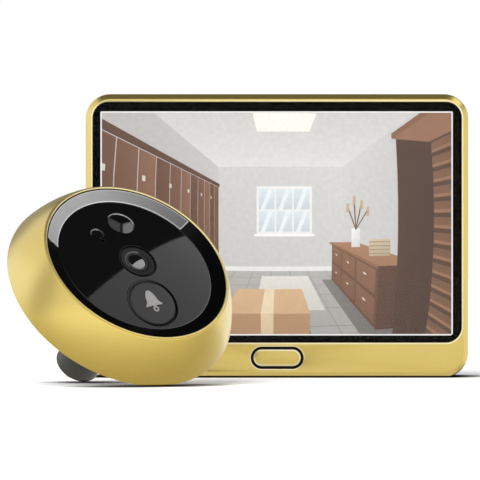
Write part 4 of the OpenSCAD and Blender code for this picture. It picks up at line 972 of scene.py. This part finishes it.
def larger(tree, first, second):
    """Larger one of two values."""
    node = tree.nodes.new("ShaderNodeMath")
    node.operation = "MAXIMUM"
    tree.links.new(first, node.inputs[0])
    tree.links.new(second, node.inputs[1])
    return node.outputs["Value"]


def sees_background(tree):
    """1 for rays of the camera and for those that metal and glass send out."""
    rays = tree.nodes.new("ShaderNodeLightPath").outputs
    seen = larger(tree, rays["Is Camera Ray"], rays["Is Glossy Ray"])
    return larger(tree, seen, rays["Is Transmission Ray"])


def make_world(ambient):
    """White world that lights the object at a lower strength than it is seen at."""
    world = bpy.data.worlds.new("studio")
    scene.world = world
    world.use_nodes = True
    tree = world.node_tree
    background = tree.nodes["Background"]
    strength = tree.nodes.new("ShaderNodeMapRange")
    strength.inputs["To Min"].default_value = ambient
    strength.inputs["To Max"].default_value = 1.0
    tree.links.new(sees_background(tree), strength.inputs["Value"])
    tree.links.new(strength.outputs["Result"], background.inputs["Strength"])
    background.inputs["Color"].default_value = (1, 1, 1, 1)


def make_floor(size, albedo, shown, painted_shadow_reach, drop):
    """Pale floor that is white where the light reaches it, with a contact shadow painted from ambient
    occlusion where the object meets it.
    """
    mat, tree, output = empty_tree("floor")
    diffuse = tree.nodes.new("ShaderNodeBsdfDiffuse")
    tone = blend(tree, sees_background(tree), (albedo, albedo, albedo, 1), (shown, shown, shown, 1))
    # Painted contact shadow: ambient occlusion darkens the floor near the object
    corners = tree.nodes.new("ShaderNodeAmbientOcclusion")
    corners.samples = 16
    corners.inputs["Distance"].default_value = painted_shadow_reach
    depth = tree.nodes.new("ShaderNodeMath")
    depth.operation = "POWER"
    depth.inputs[1].default_value = 3
    tree.links.new(corners.outputs["AO"], depth.inputs[0])
    tree.links.new(scaled(tree, tone, depth.outputs["Value"]), diffuse.inputs["Color"])
    tree.links.new(diffuse.outputs["BSDF"], output.inputs["Surface"])
    half = size / 2
    floor = flat_object("floor", across_z(0, -half, half, -half, half), mat)
    floor.location.z = -drop


def only_mirrored(name, points, mat):
    """Flat polygon that only reflections see."""
    card = flat_object(name, points, mat)
    card.visible_camera = False
    card.visible_diffuse = False
    card.visible_shadow = False


def make_card(name, points, strength, colour=(1, 1, 1, 1), one_sided=False):
    """Glowing card that only reflections see. A one-sided card is clear from behind."""
    mat, tree, output = empty_tree(name)
    light = tree.nodes.new("ShaderNodeEmission")
    light.inputs["Strength"].default_value = strength
    light.inputs["Color"].default_value = colour
    shown = light.outputs["Emission"]
    if one_sided:
        faced = tree.nodes.new("ShaderNodeNewGeometry")
        clear = tree.nodes.new("ShaderNodeBsdfTransparent")
        either = tree.nodes.new("ShaderNodeMixShader")
        tree.links.new(faced.outputs["Backfacing"], either.inputs["Fac"])
        tree.links.new(shown, either.inputs[1])
        tree.links.new(clear.outputs["BSDF"], either.inputs[2])
        shown = either.outputs["Shader"]
    tree.links.new(shown, output.inputs["Surface"])
    only_mirrored(name, points, mat)


def make_table(points, along, reach, tones):
    """Card on the floor that only reflections see. Its tones change with the distance in a direction."""
    mat, tree, output = empty_tree("table")
    light = tree.nodes.new("ShaderNodeEmission")
    place = tree.nodes.new("ShaderNodeNewGeometry")
    away = tree.nodes.new("ShaderNodeVectorMath")
    away.operation = "DOT_PRODUCT"
    away.inputs[1].default_value = along
    share = tree.nodes.new("ShaderNodeMapRange")
    share.inputs["From Max"].default_value = reach
    ramp = tree.nodes.new("ShaderNodeValToRGB")
    stops = ramp.color_ramp.elements
    while len(stops) < len(tones):
        stops.new(0.5)
    for stop, (distance, tone) in zip(stops, tones):
        stop.position = distance / reach
        stop.color = (*tone, 1)
    tree.links.new(place.outputs["Position"], away.inputs[0])
    tree.links.new(away.outputs["Value"], share.inputs["Value"])
    tree.links.new(share.outputs["Result"], ramp.inputs["Fac"])
    tree.links.new(ramp.outputs["Color"], light.inputs["Color"])
    tree.links.new(light.outputs["Emission"], output.inputs["Surface"])
    only_mirrored("table", points, mat)


def make_sun(name, towards, spread, strength):
    """Even soft light that comes from a direction. spread is the width of its source in degrees."""
    lamp = bpy.data.lights.new(name, "SUN")
    lamp.angle = math.radians(spread)
    lamp.energy = strength
    light = place_object(name, lamp)
    light.rotation_euler = Vector(towards).to_track_quat("Z", "Y").to_euler()
    light.visible_glossy = False


make_world(ambient=0.55)
make_floor(size=6.0, albedo=0.8, shown=1.45, painted_shadow_reach=0.009, drop=0.00002)
make_sun("key", towards=(-0.55, -0.75, 0.9), spread=50, strength=1.9)

# What the gloss mirrors from above: a dark ceiling with a bright opening that has one slanted side
CEILING_Z, CEILING_FRONT = 0.45, -0.32
make_card("ceiling", across_z(CEILING_Z, -0.3, 0.75, CEILING_FRONT, 0.8), 0.02)
opening = ((0.124, CEILING_FRONT), (0.55, CEILING_FRONT), (0.55, 0.2), (0.265, 0.2))
make_card("skylight", [(x, y, CEILING_Z - 0.004) for x, y in opening], 1.6)

# From the sides: a pale and a dim card at the left, a dim one behind, and a small one between the two units
COOL_WHITE = (0.94, 0.98, 1.2, 1)
make_card("left_card", across_x(-0.6, -0.2, 0.35, 0.08, 0.36), 1.35, COOL_WHITE)
make_card("dim_left_card", across_x(-0.5, -0.42, -0.2, 0, 0.5), 0.5)
make_card("back_left_card", across_y(0.9, -0.85, 0.05, 0, 0.7), 0.3)
make_card("right_card", across_y(-0.03, -0.004, 0.03, 0.003, 0.065), 1.2, one_sided=True)

# From below: the table, a card with painted shade and warm painted bounce light round the camera unit's foot,
# and bright in front of it
# Tones by distance: painted shade near the foot, warmed by painted bounce light from the gold
TABLE_PAINTED_SHADE = (
    (0.03, (0.9, 0.88, 0.8)),
    (0.056, (0.74, 0.7, 0.54)),
    (0.076, (0.6, 0.54, 0.36)),
    (0.092, (0.86, 0.82, 0.64)),
    (0.118, (1.25, 1.23, 1.08)),
    (0.2, (1.6, 1.6, 1.5)),
)
table_points = across_z(0.0004, -0.4, 0.3, -0.6, -0.0097)
make_table(table_points, along=(0.35, -1, 0), reach=0.25, tones=TABLE_PAINTED_SHADE)
